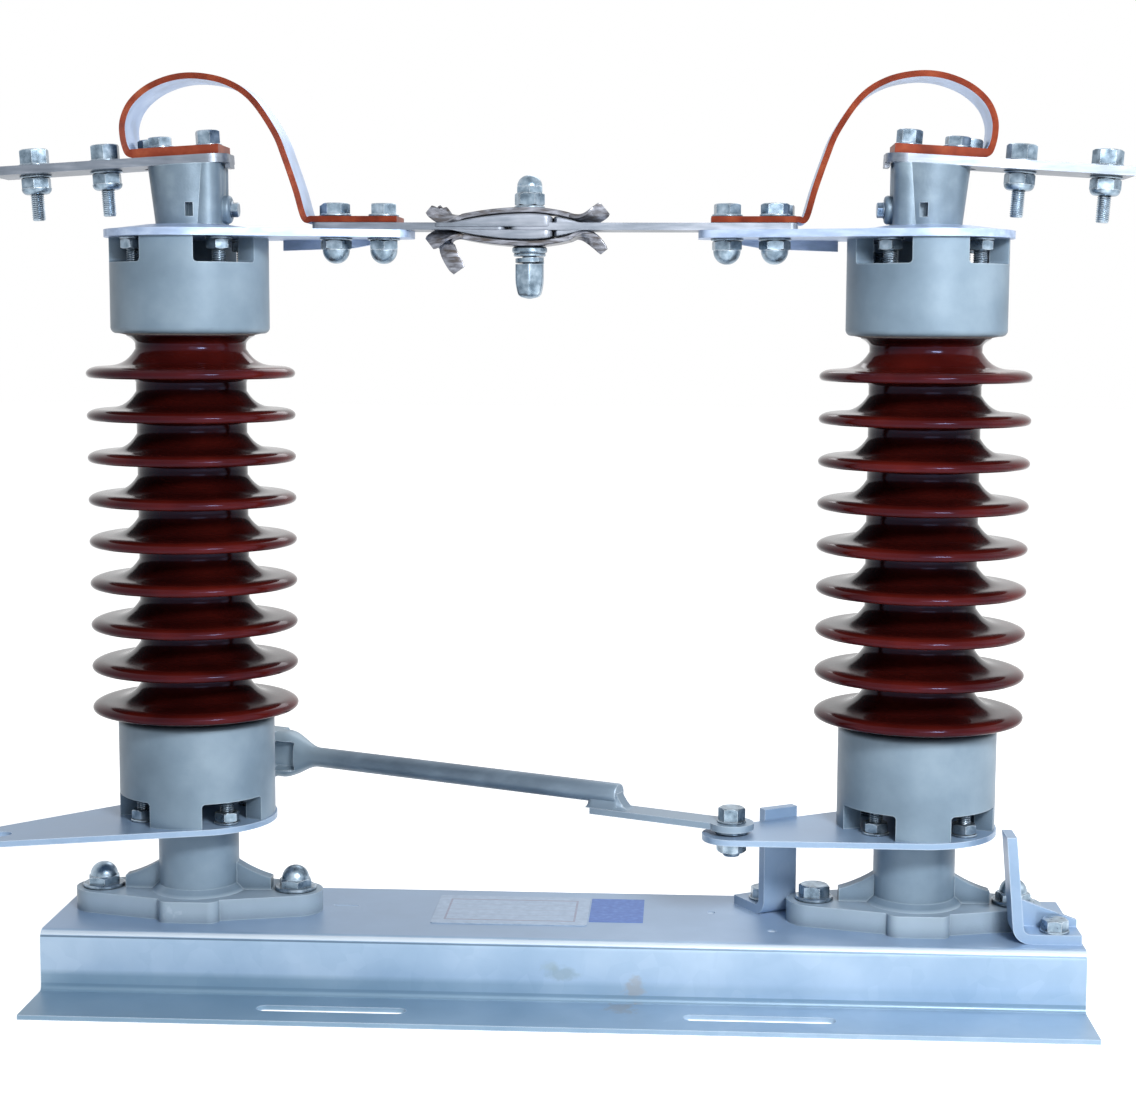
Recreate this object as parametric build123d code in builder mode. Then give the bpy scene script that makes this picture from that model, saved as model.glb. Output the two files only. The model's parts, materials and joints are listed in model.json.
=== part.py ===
from build123d import *
import os
from math import acos, atan2, cos, degrees, hypot, radians, sin, tan

os.makedirs("parts", exist_ok=True)

# Frame: X along the channel, Y away from the front, Z up from the floor.
# The origin is on the floor, midway between the two insulator columns.

# ---- columns ----
column_spacing = 600.0
column_x = column_spacing / 2

# ---- base channel, a hat section folded from sheet ----
sheet = 4.0
base_height = 54.0
base_top_width = 150.0
base_left = -415.0
base_right = 430.0
flange_width = 62.0
bend_inside = 4.0
slot_x = 170.0
slot_length = 120.0
slot_width = 14.0
slot_edge = 30.0
clearance_hole = 6.5
earth_hole = 3.5
earth_holes = ((133.0, 15.0), (173.0, 17.0), (182.0, -35.0))
locating_slot_x = -177.5
locating_slot_y = 15.0
locating_slot_length = 22.0

# ---- bearing housings ----
flange_thick = 18.0
foot_radius = 44.0
ear_reach = 82.0
ear_radius = 23.0
lobe_width = 51.0
lobe_reach = 48.0
lobe_round = 9.0
neck_radius = 33.5
neck_round = 6.0
housing_height = 75.5
rib_thick = 12.0
rib_root = 24.0
rib_end = 10.5
rib_reach = 62.0
bearing_fit = 0.08
housing_bolt_across = 27.0
housing_bolt_head = 7.0
plain_bolt_head = 10.0
housing_bolt_dome = 11.0
housing_bolt_washer = 3.0
housing_bolt_tail = 18.0

# ---- spindles and lever plates ----
spindle_radius = 20.0
spindle_clearance = 4.0
lever_gap = 2.5
lever_thick = 5.0
disc_radius = 66.0
tip_radius = 24.0
pin_radius = 8.0
drive_angle = 212.0
drive_reach = 165.0
link_angle = 195.5
link_reach = 158.0

# ---- stops that the link lever's edges meet ----
stop_thick = 8.0
stop_bend = 6.0
stop_gap = 0.8
stop_bolt_inset = 20.0
open_stop_width = 28.0
open_stop_foot = 54.0
open_stop_along = 44.0
open_stop_rise = 4.0
open_stop_lean = 5.0
open_bolt_shift = -2.5
gusset_thick = 4.0
gusset_height = 24.0
stop_bolt_across = 19.0
stop_bolt_tail = 14.0
nut_share = 0.45
closed_stop_width = 32.0
closed_stop_foot = 46.0
closed_stop_inset = 70.0
closed_stop_rise = 9.0

# ---- insulators and their caps ----
insulator_height = 479.0
cap_radius = 64.5
cap_wall = 12.5
cap_round = 5.0
cap_lip = 3.0
bottom_cap_height = 84.0
top_cap_height = 77.5
window_height = 20.5
window_angle = 50.0
window_round = 3.0
cap_web = 12.0
left_window_turn = 311.0
right_bottom_window_turn = 315.0
right_top_window_turn = 318.0
core_radius = 45.0
shed_radius = 85.0
shed_count = 9
lowest_shed_gap = 10.0
top_shed_gap = 31.5
shed_lip = 3.0
shed_edge = 4.0
shed_rise = 19.0

# ---- current path at the top ----
arm_thick = 6.0
arm_disc_radius = cap_radius + 4
arm_end = 184.0
arm_end_width = 54.0
arm_end_round = 13.0
arm_rib_thick = 6.0
arm_rib_drop = 8.5
crown_radius = 36.0
crown_rise = 4.2
bar_thick = 5.8
bar_width = 46.0
bar_start = 105.0
bar_round = 6.0
strap_thick = 5.5
strap_width = 44.0
strap_start = 174.0
loop_start = -92.5
loop_width = 139.8
loop_height = 121.8
blade_tip = -38.5
right_bar_tip = -35.0
clamp_x = -20.5
bolt_shank = 6.0
through_bolts = ((-161.0, -4.0), (-123.0, -10.0))
short_bolt = (-117.0, 14.0)
arm_bolt_across = 20.0
arm_bolt_head = 8.0
arm_bolt_tail = 14.0

# ---- contact fingers, bowed strips with slotted ends ----
finger_thick = 3.0
finger_width = 40.0
finger_left = -100.0
finger_right = 40.0
finger_gap = 0.3
finger_lean = 0.17
finger_bow = 10.5
finger_lead_in = 15.5
upper_flare = (13.5, 11.0)
lower_flare = (15.0, 14.0)
tine_slot = 3.0
tine_length = 26.0
spring_height = 15.5
spring_radius = 12.0
clamp_nut_across = 21.0
clamp_nut_height = 10.0
clamp_dome_radius = 10.3
clamp_dome_base = 14.5
acorn_across = 22.0
acorn_waist_across = 20.4
acorn_end_across = 13.0
acorn_waist = 14.0
acorn_length = 26.0

# ---- terminals ----
swivel_gap = 0.3
post_bottom_radius = 28.0
post_top_radius = 32.5
post_shift = 1.4
post_height = 59.0
clamp_lug_radius = 11.5
clamp_lug_reach = 35.8
clamp_lug_round = 3.0
post_boss_radius = 13.0
post_boss_x = -17.0
post_slit = (6.0, 11.0)
terminal_thick = 7.0
terminal_width = 50.0
terminal_reach = 158.0
terminal_back = 36.0
terminal_lip = 4.0
terminal_droop = 3.5
terminal_bolts = {"left": (68.0, 127.0), "right": (72.0, 140.0)}
terminal_bolt_across = 22.0
terminal_bolt_head = 13.5
terminal_bolt_washer = 2.5
terminal_bolt_length = 43.5
terminal_corner = 16.0
palm_thick = 7.5
palm_start = 40.0
palm_end = -30.5
palm_lift = 0.05
strap_bolt_places = ((-17.5, 0.0), (20.0, -8.0), (32.0, 8.0))
strap_bolt_across = 18.0
strap_bolt_head = 7.0
strap_bolt_shank = 5.0
strap_bolt_grip = 12.0
stud_radius = 12.0
stud_height = 30.0

# ---- interphase link ----
rod_radius = 9.0
rod_lift = 21.0
rod_slope = 24.8
spacer_thick = 3.4
lap_gap = 0.3
tongue_thick = 5.5
tongue_width = 24.0
tongue_length = 124.0
saddle_length = 24.0
spacer_radius = 14.0
pivot_bolt_across = 19.0
pivot_bolt_head = 11.0
pivot_bolt_tail = 13.0
rod_overlap = 102.0
fork_gap = 22.0
fork_height = 42.0
fork_radius = 15.0
fork_web = 10.0
fork_depth = 66.0
fork_taper = 18.0
ear_gap = 0.5
ear_head_radius = 18.0
ear_root_width = 46.0
fork_facet = 56.0

# ---- heights, stacked up from the base ----
ear_top = base_height + flange_thick
neck_top = base_height + housing_height
spindle_foot = base_height + spindle_clearance
lever_bottom = neck_top + lever_gap
lever_top = lever_bottom + lever_thick
bottom_cap_top = lever_top + bottom_cap_height
top_cap_top = lever_top + insulator_height
top_cap_bottom = top_cap_top - top_cap_height
arm_bottom = top_cap_top
arm_top = arm_bottom + arm_thick
crown_top = arm_top + crown_rise
bar_top = arm_top + bar_thick
strap_top = bar_top + strap_thick
terminal_axis_top = arm_top + post_height
tongue_bottom = lever_top + spacer_thick + 2 * lap_gap
tongue_top = tongue_bottom + tongue_thick
rod_z = lever_top + rod_lift
link_pin = (link_reach * cos(radians(link_angle)), link_reach * sin(radians(link_angle)))

# The two columns turn equal and opposite quarter turns, so the left pin lies
# where the rod is as long with the switch open as it is with it closed.
slope = tan(radians(rod_slope))
closure_span = column_spacing - 2 * link_pin[1]
closure_base = -column_spacing * (link_pin[0] + link_pin[1]) / closure_span
closure_slope = (column_spacing + 2 * link_pin[0]) / closure_span
line_base = link_pin[1] + (column_spacing + link_pin[0]) * slope
ear_pin_x = (line_base - closure_base) / (closure_slope + slope)
ear_pin_y = line_base - slope * ear_pin_x
ear_angle = degrees(atan2(ear_pin_y, ear_pin_x))
ear_pin_reach = hypot(ear_pin_x, ear_pin_y)
rod_run = hypot(column_spacing + link_pin[0] - ear_pin_x, ear_pin_y - link_pin[1])

# Each edge of a lever is the line that touches both of its circles.
edge_angle = degrees(acos((disc_radius - tip_radius) / link_reach))


def stop_place(lever_angle, turn, along):
    """Where a stop's leg faces the lever's edge, with its foot pointing away."""
    normal = lever_angle + turn * edge_angle
    out = disc_radius + stop_gap
    x = column_x + out * cos(radians(normal)) + along * cos(radians(normal - turn * 90))
    y = out * sin(radians(normal)) + along * sin(radians(normal - turn * 90))
    return Location((x, y, base_height), (0, 0, normal))


closed_place = stop_place(link_angle, -1, link_reach - closed_stop_inset)
open_place = stop_place(link_angle + 90, 1, open_stop_along)
open_heel = (lever_top + open_stop_rise - base_height) * tan(radians(open_stop_lean))
open_bolt_x = open_heel + open_stop_foot - stop_bolt_inset
closed_bolt_x = closed_stop_foot - stop_bolt_inset


def keep(name, shape):
    shape.label = name
    export_step(shape, f"parts/{name}.step")


def at_column(shape, side):
    """Puts a piece drawn on an axis at 0, with +X outwards, on its column."""
    handed = shape if side > 0 else shape.mirror(Plane.YZ)
    return handed.moved(Location((side * column_x, 0, 0)))


def hex_bolt(across, head, shank, below, washer=2.0, grip=0.0, dome=0.0):
    """A bolt on Z: washer and head up from 0, shank down, nut under a grip if it has one."""
    washer_radius = across * 0.6
    with BuildPart() as bolt:
        with BuildSketch(Plane.XY.offset(washer)):
            RegularPolygon(across / 2, 6, major_radius=False)
        extrude(amount=head)
        chamfer(bolt.faces().sort_by(Axis.Z)[-1].edges(), head * 0.12)
        if dome:
            with Locations((0, 0, washer + head)):
                Sphere(dome, arc_size1=0)
        with BuildSketch():
            Circle(washer_radius)
        extrude(amount=washer)
        with BuildSketch(Plane.XY.offset(washer)):
            Circle(shank)
        extrude(amount=-(below + washer))
        if grip:
            with BuildSketch(Plane.XY.offset(-grip)):
                Circle(washer_radius)
            extrude(amount=-washer)
            with BuildSketch(Plane.XY.offset(-grip - washer)):
                RegularPolygon(across / 2, 6, major_radius=False)
            extrude(amount=-nut_share * across)
    return bolt.part


# ---- base ----
half_top = base_top_width / 2
flange_edge = half_top + flange_width
with BuildPart() as base_channel:
    with BuildSketch(Plane.YZ.offset(base_left)) as section:
        with BuildLine():
            Polyline(
                (0, base_height),
                (half_top, base_height),
                (half_top, sheet),
                (flange_edge, sheet),
                (flange_edge, 0),
                (half_top - sheet, 0),
                (half_top - sheet, base_height - sheet),
                (0, base_height - sheet),
            )
            mirror(about=Plane.YZ)
        make_face()
        bends = section.vertices().filter_by(lambda v: abs(v.X) < flange_edge - 1)
        outside = bends.filter_by(lambda v: abs(abs(v.X) - half_top) < 0.1 and v.Y > sheet + 1)
        heel = bends.filter_by(lambda v: abs(abs(v.X) - half_top + sheet) < 0.1 and v.Y < 1)
        fillet(outside + heel, bend_inside + sheet)
        bends = section.vertices().filter_by(lambda v: abs(v.X) < flange_edge - 1)
        under_top = bends.filter_by(lambda v: abs(v.Y - base_height + sheet) < 0.1)
        inside = under_top.filter_by(lambda v: abs(abs(v.X) - half_top + sheet) < 0.1)
        over_flange = bends.filter_by(lambda v: abs(v.Y - sheet) < 0.1)
        crook = over_flange.filter_by(lambda v: abs(abs(v.X) - half_top) < 0.1)
        fillet(inside + crook, bend_inside)
    extrude(amount=base_right - base_left)
    with BuildSketch():
        with GridLocations(2 * slot_x, 2 * (flange_edge - slot_edge), 2, 2):
            SlotOverall(slot_length, slot_width)
    extrude(amount=sheet, mode=Mode.SUBTRACT)
    with BuildSketch(Plane.XY.offset(base_height)):
        with Locations((-column_x, 0), (column_x, 0)):
            with Locations((-ear_reach, 0), (ear_reach, 0)):
                Circle(clearance_hole)
        with Locations(
            open_place * Location((open_bolt_x, open_bolt_shift, 0)),
            closed_place * Location((closed_bolt_x, 0, 0)),
        ):
            Circle(clearance_hole)
        with Locations(*earth_holes):
            Circle(earth_hole)
        with Locations((locating_slot_x, locating_slot_y)):
            SlotOverall(locating_slot_length, earth_hole)
    extrude(amount=-sheet, mode=Mode.SUBTRACT)
keep("base_channel", base_channel.part)

# ---- bearing housings, a flange with two ears, two lobes and two ribs ----
with BuildPart() as housing:
    with BuildSketch(Plane.XY.offset(base_height)) as foot:
        Circle(foot_radius)
        with Locations((-ear_reach, 0), (ear_reach, 0)):
            Circle(ear_radius)
        make_hull()
        Rectangle(lobe_width, 2 * lobe_reach)
        lobe_ends = foot.vertices().filter_by(lambda v: abs(abs(v.Y) - lobe_reach) < 0.1)
        fillet(lobe_ends, lobe_round)
    extrude(amount=flange_thick)
    with BuildSketch(Plane.XZ):
        with BuildLine():
            Line((0, ear_top), (rib_reach, ear_top))
            Line((rib_reach, ear_top), (rib_reach, ear_top + rib_end))
            ThreePointArc(
                (rib_reach, ear_top + rib_end),
                ((rib_reach + neck_radius) / 2, ear_top + rib_end + (rib_root - rib_end) * 0.38),
                (neck_radius - 1, ear_top + rib_root),
            )
            Line((neck_radius - 1, ear_top + rib_root), (0, ear_top + rib_root))
            Line((0, ear_top + rib_root), (0, ear_top))
        make_face()
        mirror(about=Plane.YZ)
    extrude(amount=rib_thick / 2, both=True)
    with BuildSketch(Plane.XZ) as neck_side:
        with BuildLine():
            Polyline(
                (0, ear_top),
                (neck_radius + neck_round, ear_top),
                (neck_radius, ear_top + neck_round),
                (neck_radius, neck_top),
                (0, neck_top),
                close=True,
            )
        make_face()
    revolve(axis=Axis.Z)
    with BuildSketch(Plane.XY.offset(neck_top)):
        Circle(spindle_radius + bearing_fit)
    extrude(amount=-(neck_top - spindle_foot + 1), mode=Mode.SUBTRACT)
    with BuildSketch(Plane.XY.offset(base_height)):
        with Locations((-ear_reach, 0), (ear_reach, 0)):
            Circle(clearance_hole)
    extrude(amount=flange_thick, mode=Mode.SUBTRACT)

housing_grip = flange_thick + sheet
domed_bolt = hex_bolt(
    housing_bolt_across,
    housing_bolt_head,
    bolt_shank,
    housing_grip + housing_bolt_tail,
    washer=housing_bolt_washer,
    grip=housing_grip,
    dome=housing_bolt_dome,
)
plain_bolt = hex_bolt(
    housing_bolt_across,
    plain_bolt_head,
    bolt_shank,
    housing_grip + housing_bolt_tail,
    washer=housing_bolt_washer,
    grip=housing_grip,
)
with BuildPart() as housing_bolts:
    with Locations((-ear_reach, 0, ear_top)):
        add(plain_bolt)
    with Locations((ear_reach, 0, ear_top)):
        add(domed_bolt)
with BuildPart() as domed_bolts:
    with Locations((-ear_reach, 0, ear_top), (ear_reach, 0, ear_top)):
        add(domed_bolt)

with BuildPart() as spindle:
    with BuildSketch(Plane.XY.offset(spindle_foot)):
        Circle(spindle_radius)
    extrude(amount=lever_bottom - spindle_foot)

for side, word, bolts in ((-1, "left", domed_bolts), (1, "right", housing_bolts)):
    keep(f"{word}_bearing_housing", at_column(housing.part, side))
    keep(f"{word}_housing_bolts", at_column(bolts.part, side))
    keep(f"{word}_spindle", at_column(spindle.part, side))


# ---- stops for the link lever ----
def stop_bracket(width, leg_height, heel, foot_length, bolt_y=0.0, gusset=0.0):
    """An L bent from flat bar: leg up at X 0, leaning out to a heel, foot along +X."""
    foot_end = heel + foot_length
    with BuildPart() as bracket:
        with BuildSketch(Plane.XZ) as profile:
            with BuildLine():
                Polyline(
                    (0, leg_height),
                    (heel, 0),
                    (foot_end, 0),
                    (foot_end, stop_thick),
                    (heel + stop_thick, stop_thick),
                    (stop_thick, leg_height),
                    close=True,
                )
            make_face()
            corners = profile.vertices()
            fillet(corners.sort_by_distance((heel, 0))[0], stop_bend + stop_thick)
            corners = profile.vertices()
            fillet(corners.sort_by_distance((heel + stop_thick, stop_thick))[0], stop_bend)
        extrude(amount=width / 2, both=True)
        with Locations((foot_end - stop_bolt_inset, bolt_y, stop_thick)):
            Hole(clearance_hole, depth=stop_thick)
        if gusset:
            with BuildSketch(Plane.XZ.offset(-width / 2)):
                with BuildLine():
                    Polyline(
                        (heel + stop_thick / 2, stop_thick / 2),
                        (foot_end, stop_thick / 2),
                        (foot_end, stop_thick + gusset / 4),
                        (heel + stop_thick / 2, stop_thick + gusset),
                        close=True,
                    )
                make_face()
            extrude(amount=gusset_thick)
    return bracket.part


stop_grip = stop_thick + sheet
stop_bolt_head = nut_share * stop_bolt_across
stop_bolt = hex_bolt(
    stop_bolt_across, stop_bolt_head, bolt_shank, stop_grip + stop_bolt_tail, grip=stop_grip
)
open_leg = lever_top + open_stop_rise - base_height
closed_leg = lever_top + closed_stop_rise - base_height
open_bracket = stop_bracket(
    open_stop_width, open_leg, open_heel, open_stop_foot, open_bolt_shift, gusset_height
)
closed_bracket = stop_bracket(closed_stop_width, closed_leg, 0, closed_stop_foot)
keep("open_stop_bracket", open_place * open_bracket)
open_bolt_place = open_place * Location((open_bolt_x, open_bolt_shift, stop_thick))
keep("open_stop_bolt", open_bolt_place * stop_bolt)
keep("closed_stop_bracket", closed_place * closed_bracket)
keep("closed_stop_bolt", closed_place * Location((closed_bolt_x, 0, stop_thick)) * stop_bolt)


# ---- lever plates ----
def facet_cut(height):
    """What lies beyond the flat where the link's fork passes the left column."""
    facing = Location((-column_x, 0, lever_bottom), (0, 0, ear_angle - 90))
    with BuildPart() as beyond:
        with Locations(facing * Location((0, fork_facet + disc_radius / 2, 0))):
            Box(3 * disc_radius, disc_radius, 2 * height)
    return beyond.part


def lever_plate(x, angle, reach):
    tip = (x + reach * cos(radians(angle)), reach * sin(radians(angle)))
    with BuildPart() as plate:
        with BuildSketch(Plane.XY.offset(lever_bottom)):
            with Locations((x, 0)):
                Circle(disc_radius)
            with Locations(tip):
                Circle(tip_radius)
            make_hull()
            with Locations(tip):
                Circle(pin_radius, mode=Mode.SUBTRACT)
        extrude(amount=lever_thick)
    return plate.part


with BuildPart() as drive_lever:
    add(lever_plate(-column_x, drive_angle, drive_reach))
    add(facet_cut(2 * lever_thick), mode=Mode.SUBTRACT)
keep("left_drive_lever", drive_lever.part)
keep("right_link_lever", lever_plate(column_x, link_angle, link_reach))


# ---- caps ----
def cap(flat_z, rim_z, x, window_turn):
    """A cup for the porcelain; flat_z is its bolted face and rim_z its rim."""
    height = abs(rim_z - flat_z)
    seat = window_height + cap_web
    inner = cap_radius - cap_wall
    with BuildPart() as body:
        with BuildSketch(Plane.XZ):
            with BuildLine():
                Polyline(
                    (0, window_height),
                    (inner - cap_lip, window_height),
                    (inner - cap_lip, 0),
                    (cap_radius, 0),
                    (cap_radius, height),
                    (inner, height),
                    (inner, seat),
                    (0, seat),
                    close=True,
                )
            make_face()
        revolve(axis=Axis.Z)
        rims = body.edges().filter_by(GeomType.CIRCLE).group_by(Axis.Z)[-1]
        fillet(rims.sort_by(SortBy.RADIUS)[-1], cap_round)
        with BuildSketch() as windows:
            for turn in range(4):
                left = radians(window_turn + 90 * turn - window_angle / 2)
                right = radians(window_turn + 90 * turn + window_angle / 2)
                far = 2 * cap_radius
                with BuildLine():
                    Polyline(
                        (0, 0),
                        (far * cos(left), far * sin(left)),
                        (far * cos(right), far * sin(right)),
                        close=True,
                    )
                make_face()
        extrude(amount=window_height, mode=Mode.SUBTRACT)
        lintels = body.edges().filter_by(GeomType.LINE)
        lintels = lintels.filter_by(lambda e: abs(e.center().Z - window_height) < 0.01)
        fillet(lintels, window_round)
    shape = body.part if rim_z > flat_z else body.part.mirror(Plane.XY)
    return shape.moved(Location((x, 0, flat_z)))


with BuildPart() as eared_cap:
    add(cap(lever_top, bottom_cap_top, -column_x, left_window_turn))
    add(facet_cut(rod_z + fork_height / 2 + 6 - lever_bottom), mode=Mode.SUBTRACT)
    ear_low = Plane((-column_x, 0, rod_z - fork_gap / 2 + ear_gap)).rotated((0, 0, ear_angle))
    with BuildSketch(ear_low):
        with Locations((fork_facet - 2, 0)):
            Rectangle(4, ear_root_width)
        with Locations((ear_pin_reach, 0)):
            Circle(ear_head_radius)
        make_hull()
        with Locations((ear_pin_reach, 0)):
            Circle(pin_radius, mode=Mode.SUBTRACT)
    extrude(amount=fork_gap - 2 * ear_gap)
keep("left_bottom_cap", eared_cap.part)
keep("right_bottom_cap", cap(lever_top, bottom_cap_top, column_x, right_bottom_window_turn))
keep("left_top_cap", cap(top_cap_top, top_cap_bottom, -column_x, left_window_turn))
keep("right_top_cap", cap(top_cap_top, top_cap_bottom, column_x, right_top_window_turn))

# ---- porcelain, one revolved body per column ----
seat_low = lever_top + window_height + cap_web
seat_high = top_cap_top - window_height - cap_web
end_radius = cap_radius - cap_wall
lowest_shed = bottom_cap_top + lowest_shed_gap
shed_pitch = (top_cap_bottom - top_shed_gap - lowest_shed) / (shed_count - 1)
with BuildPart() as porcelain:
    with BuildSketch(Plane.XZ):
        with BuildLine():
            Polyline((0, seat_low), (end_radius, seat_low), (end_radius, bottom_cap_top + 1))
            last = (core_radius, bottom_cap_top + 3)
            Line((end_radius, bottom_cap_top + 1), last)
            for shed in range(shed_count):
                tip = lowest_shed + shed_pitch * shed
                under = (core_radius, tip - shed_lip / 2)
                lip = (shed_radius - shed_edge, tip - shed_lip)
                crown = (shed_radius - shed_edge, tip + shed_edge)
                shoulder = (core_radius, tip + shed_rise)
                Line(last, under)
                Line(under, lip)
                ThreePointArc(lip, (shed_radius, tip), crown)
                Spline(crown, shoulder, tangents=((-1, 0.18), (-0.25, 1)))
                last = shoulder
            Polyline(
                last,
                (core_radius, top_cap_bottom - 8),
                (end_radius, top_cap_bottom - 1),
                (end_radius, seat_high),
                (0, seat_high),
                (0, seat_low),
            )
        make_face()
    revolve(axis=Axis.Z)
keep("left_insulator", at_column(porcelain.part, -1))
keep("right_insulator", at_column(porcelain.part, 1))


# ---- arm plates ----
def arm_outline():
    with BuildSketch() as outline:
        Circle(arm_disc_radius)
        with Locations((-arm_end + arm_end_round, 0)):
            RectangleRounded(2 * arm_end_round, arm_end_width, arm_end_round - 0.5)
        make_hull()
    return outline.sketch


with BuildPart() as back_rib:
    with BuildSketch(Plane.XY.offset(arm_bottom)):
        add(arm_outline())
        offset(arm_outline(), amount=-arm_rib_thick, mode=Mode.SUBTRACT)
    extrude(amount=-arm_rib_drop)
    with BuildSketch(Plane.XZ.offset(-arm_end_width / 4)):
        with BuildLine():
            Polyline(
                (-arm_disc_radius, arm_bottom),
                (-arm_disc_radius, arm_bottom - arm_rib_drop),
                (-arm_end + arm_end_width, arm_bottom - 0.8 * arm_rib_drop),
                (-arm_end + arm_end_round, arm_bottom),
                close=True,
            )
        make_face()
    extrude(amount=-2 * arm_disc_radius, mode=Mode.INTERSECT)

with BuildPart() as arm:
    with BuildSketch(Plane.XY.offset(arm_bottom)):
        add(arm_outline())
    extrude(amount=arm_thick)
    add(back_rib.part)
    with BuildSketch(Plane.XZ):
        with BuildLine():
            Polyline(
                (0, arm_top),
                (arm_disc_radius - 2, arm_top),
                (crown_radius, crown_top),
                (0, crown_top),
                close=True,
            )
        make_face()
    revolve(axis=Axis.Z)
    with BuildSketch(Plane.XY.offset(crown_top)):
        Circle(stud_radius)
    extrude(amount=stud_height)
    with BuildSketch(Plane.XY.offset(arm_bottom)):
        with Locations(*through_bolts):
            Circle(clearance_hole)
    extrude(amount=arm_thick, mode=Mode.SUBTRACT)

arm_grip = strap_top - arm_bottom
through_bolt = hex_bolt(
    arm_bolt_across, arm_bolt_head, bolt_shank, arm_grip + arm_bolt_tail, grip=arm_grip
)
short_head = hex_bolt(arm_bolt_across, arm_bolt_head, bolt_shank, strap_top - arm_top)
with BuildPart() as arm_bolts:
    with Locations(*[(x, y, strap_top) for x, y in through_bolts]):
        add(through_bolt)
    with Locations((short_bolt[0], short_bolt[1], strap_top)):
        add(short_head)


def bar_and_holes(start, stop):
    """A flat contact bar between two places on X, at its column's own frame."""
    with BuildPart() as bar:
        with BuildSketch(Plane.XY.offset(arm_top)):
            with Locations(((start + stop) / 2, 0)):
                RectangleRounded(abs(stop - start), bar_width, bar_round)
            with Locations(*through_bolts, short_bolt):
                Circle(clearance_hole, mode=Mode.SUBTRACT)
        extrude(amount=bar_thick)
    return bar.part


with BuildPart() as right_bar:
    add(bar_and_holes(-bar_start, right_bar_tip - column_x))
    with Locations((clamp_x - column_x, 0, arm_top)):
        Cylinder(clearance_hole, 4 * bar_thick, mode=Mode.SUBTRACT)
keep("left_arm_plate", at_column(arm.part, -1))
keep("right_arm_plate", at_column(arm.part, 1))
keep("left_contact_blade", at_column(bar_and_holes(-bar_start, -blade_tip - column_x), -1))
keep("right_contact_bar", at_column(right_bar.part, 1))
keep("left_arm_bolts", at_column(arm_bolts.part, -1))
keep("right_arm_bolts", at_column(arm_bolts.part, 1))


# ---- contact fingers ----
def finger(sign, flare):
    face = bar_top + finger_gap if sign > 0 else arm_top - finger_gap
    bow = face + sign * finger_bow
    touch = face + sign * finger_thick / 2
    shoulder = face + sign * finger_bow * 0.75
    with BuildPart() as strip:
        with BuildSketch(Plane.XZ):
            with BuildLine():
                Spline(
                    (finger_left, face + sign * flare[0]),
                    (finger_left + finger_lead_in, touch),
                    ((finger_left + finger_lead_in + clamp_x) / 2, shoulder),
                    (clamp_x, bow),
                    ((finger_right - finger_lead_in + clamp_x) / 2, shoulder),
                    (finger_right - finger_lead_in, touch),
                    (finger_right, face + sign * flare[1]),
                    tangents=(
                        (1, -sign * 1.2),
                        (1, 0),
                        (1, sign * finger_lean),
                        (1, 0),
                        (1, -sign * finger_lean),
                        (1, 0),
                        (1, sign),
                    ),
                )
            trace(line_width=finger_thick)
        extrude(amount=finger_width / 2, both=True)
        with Locations((clamp_x, 0, bow)):
            Cylinder(clearance_hole, 4 * finger_bow, mode=Mode.SUBTRACT)
        with BuildSketch(Plane.XY.offset(face)):
            for end in (finger_left, finger_right):
                with Locations((end, -finger_width / 6), (end, finger_width / 6)):
                    SlotOverall(2 * tine_length, tine_slot)
        extrude(amount=2 * finger_bow, both=True, mode=Mode.SUBTRACT)
    return strip.part


keep("upper_contact_finger", finger(1, upper_flare))
keep("lower_contact_finger", finger(-1, lower_flare))

# ---- the bolt that clamps the fingers ----
upper_seat = bar_top + finger_gap + finger_bow + finger_thick / 2 + 0.2
lower_seat = arm_top - finger_gap - finger_bow - finger_thick / 2 - 0.2
acorn_top = lower_seat - spring_height
with BuildPart() as clamp:
    with BuildSketch(Plane.XY.offset(acorn_top)):
        Circle(bolt_shank)
    extrude(amount=upper_seat - acorn_top)
    with BuildSketch(Plane.XY.offset(upper_seat)):
        RegularPolygon(clamp_nut_across / 2, 6, major_radius=False)
    extrude(amount=clamp_nut_height)
    with BuildSketch(Plane.XY.offset(upper_seat)):
        Circle(clamp_dome_radius)
    extrude(amount=clamp_dome_base)
    with Locations((0, 0, upper_seat + clamp_dome_base)):
        Sphere(clamp_dome_radius, arc_size1=0)
    for across, drop in (
        (acorn_across, 0),
        (acorn_waist_across, acorn_waist),
        (acorn_end_across, acorn_length),
    ):
        with BuildSketch(Plane.XY.offset(acorn_top - drop)):
            RegularPolygon(across / 2, 6, major_radius=False)
    loft(ruled=True)
keep("contact_clamp_bolt", clamp.part.moved(Location((clamp_x, 0, 0))))

with BuildPart() as spring:
    with BuildSketch(Plane.XY.offset(lower_seat)):
        Circle(spring_radius)
        Circle(clearance_hole, mode=Mode.SUBTRACT)
    extrude(amount=-spring_height)
keep("contact_spring", spring.part.moved(Location((clamp_x, 0, 0))))

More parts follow.
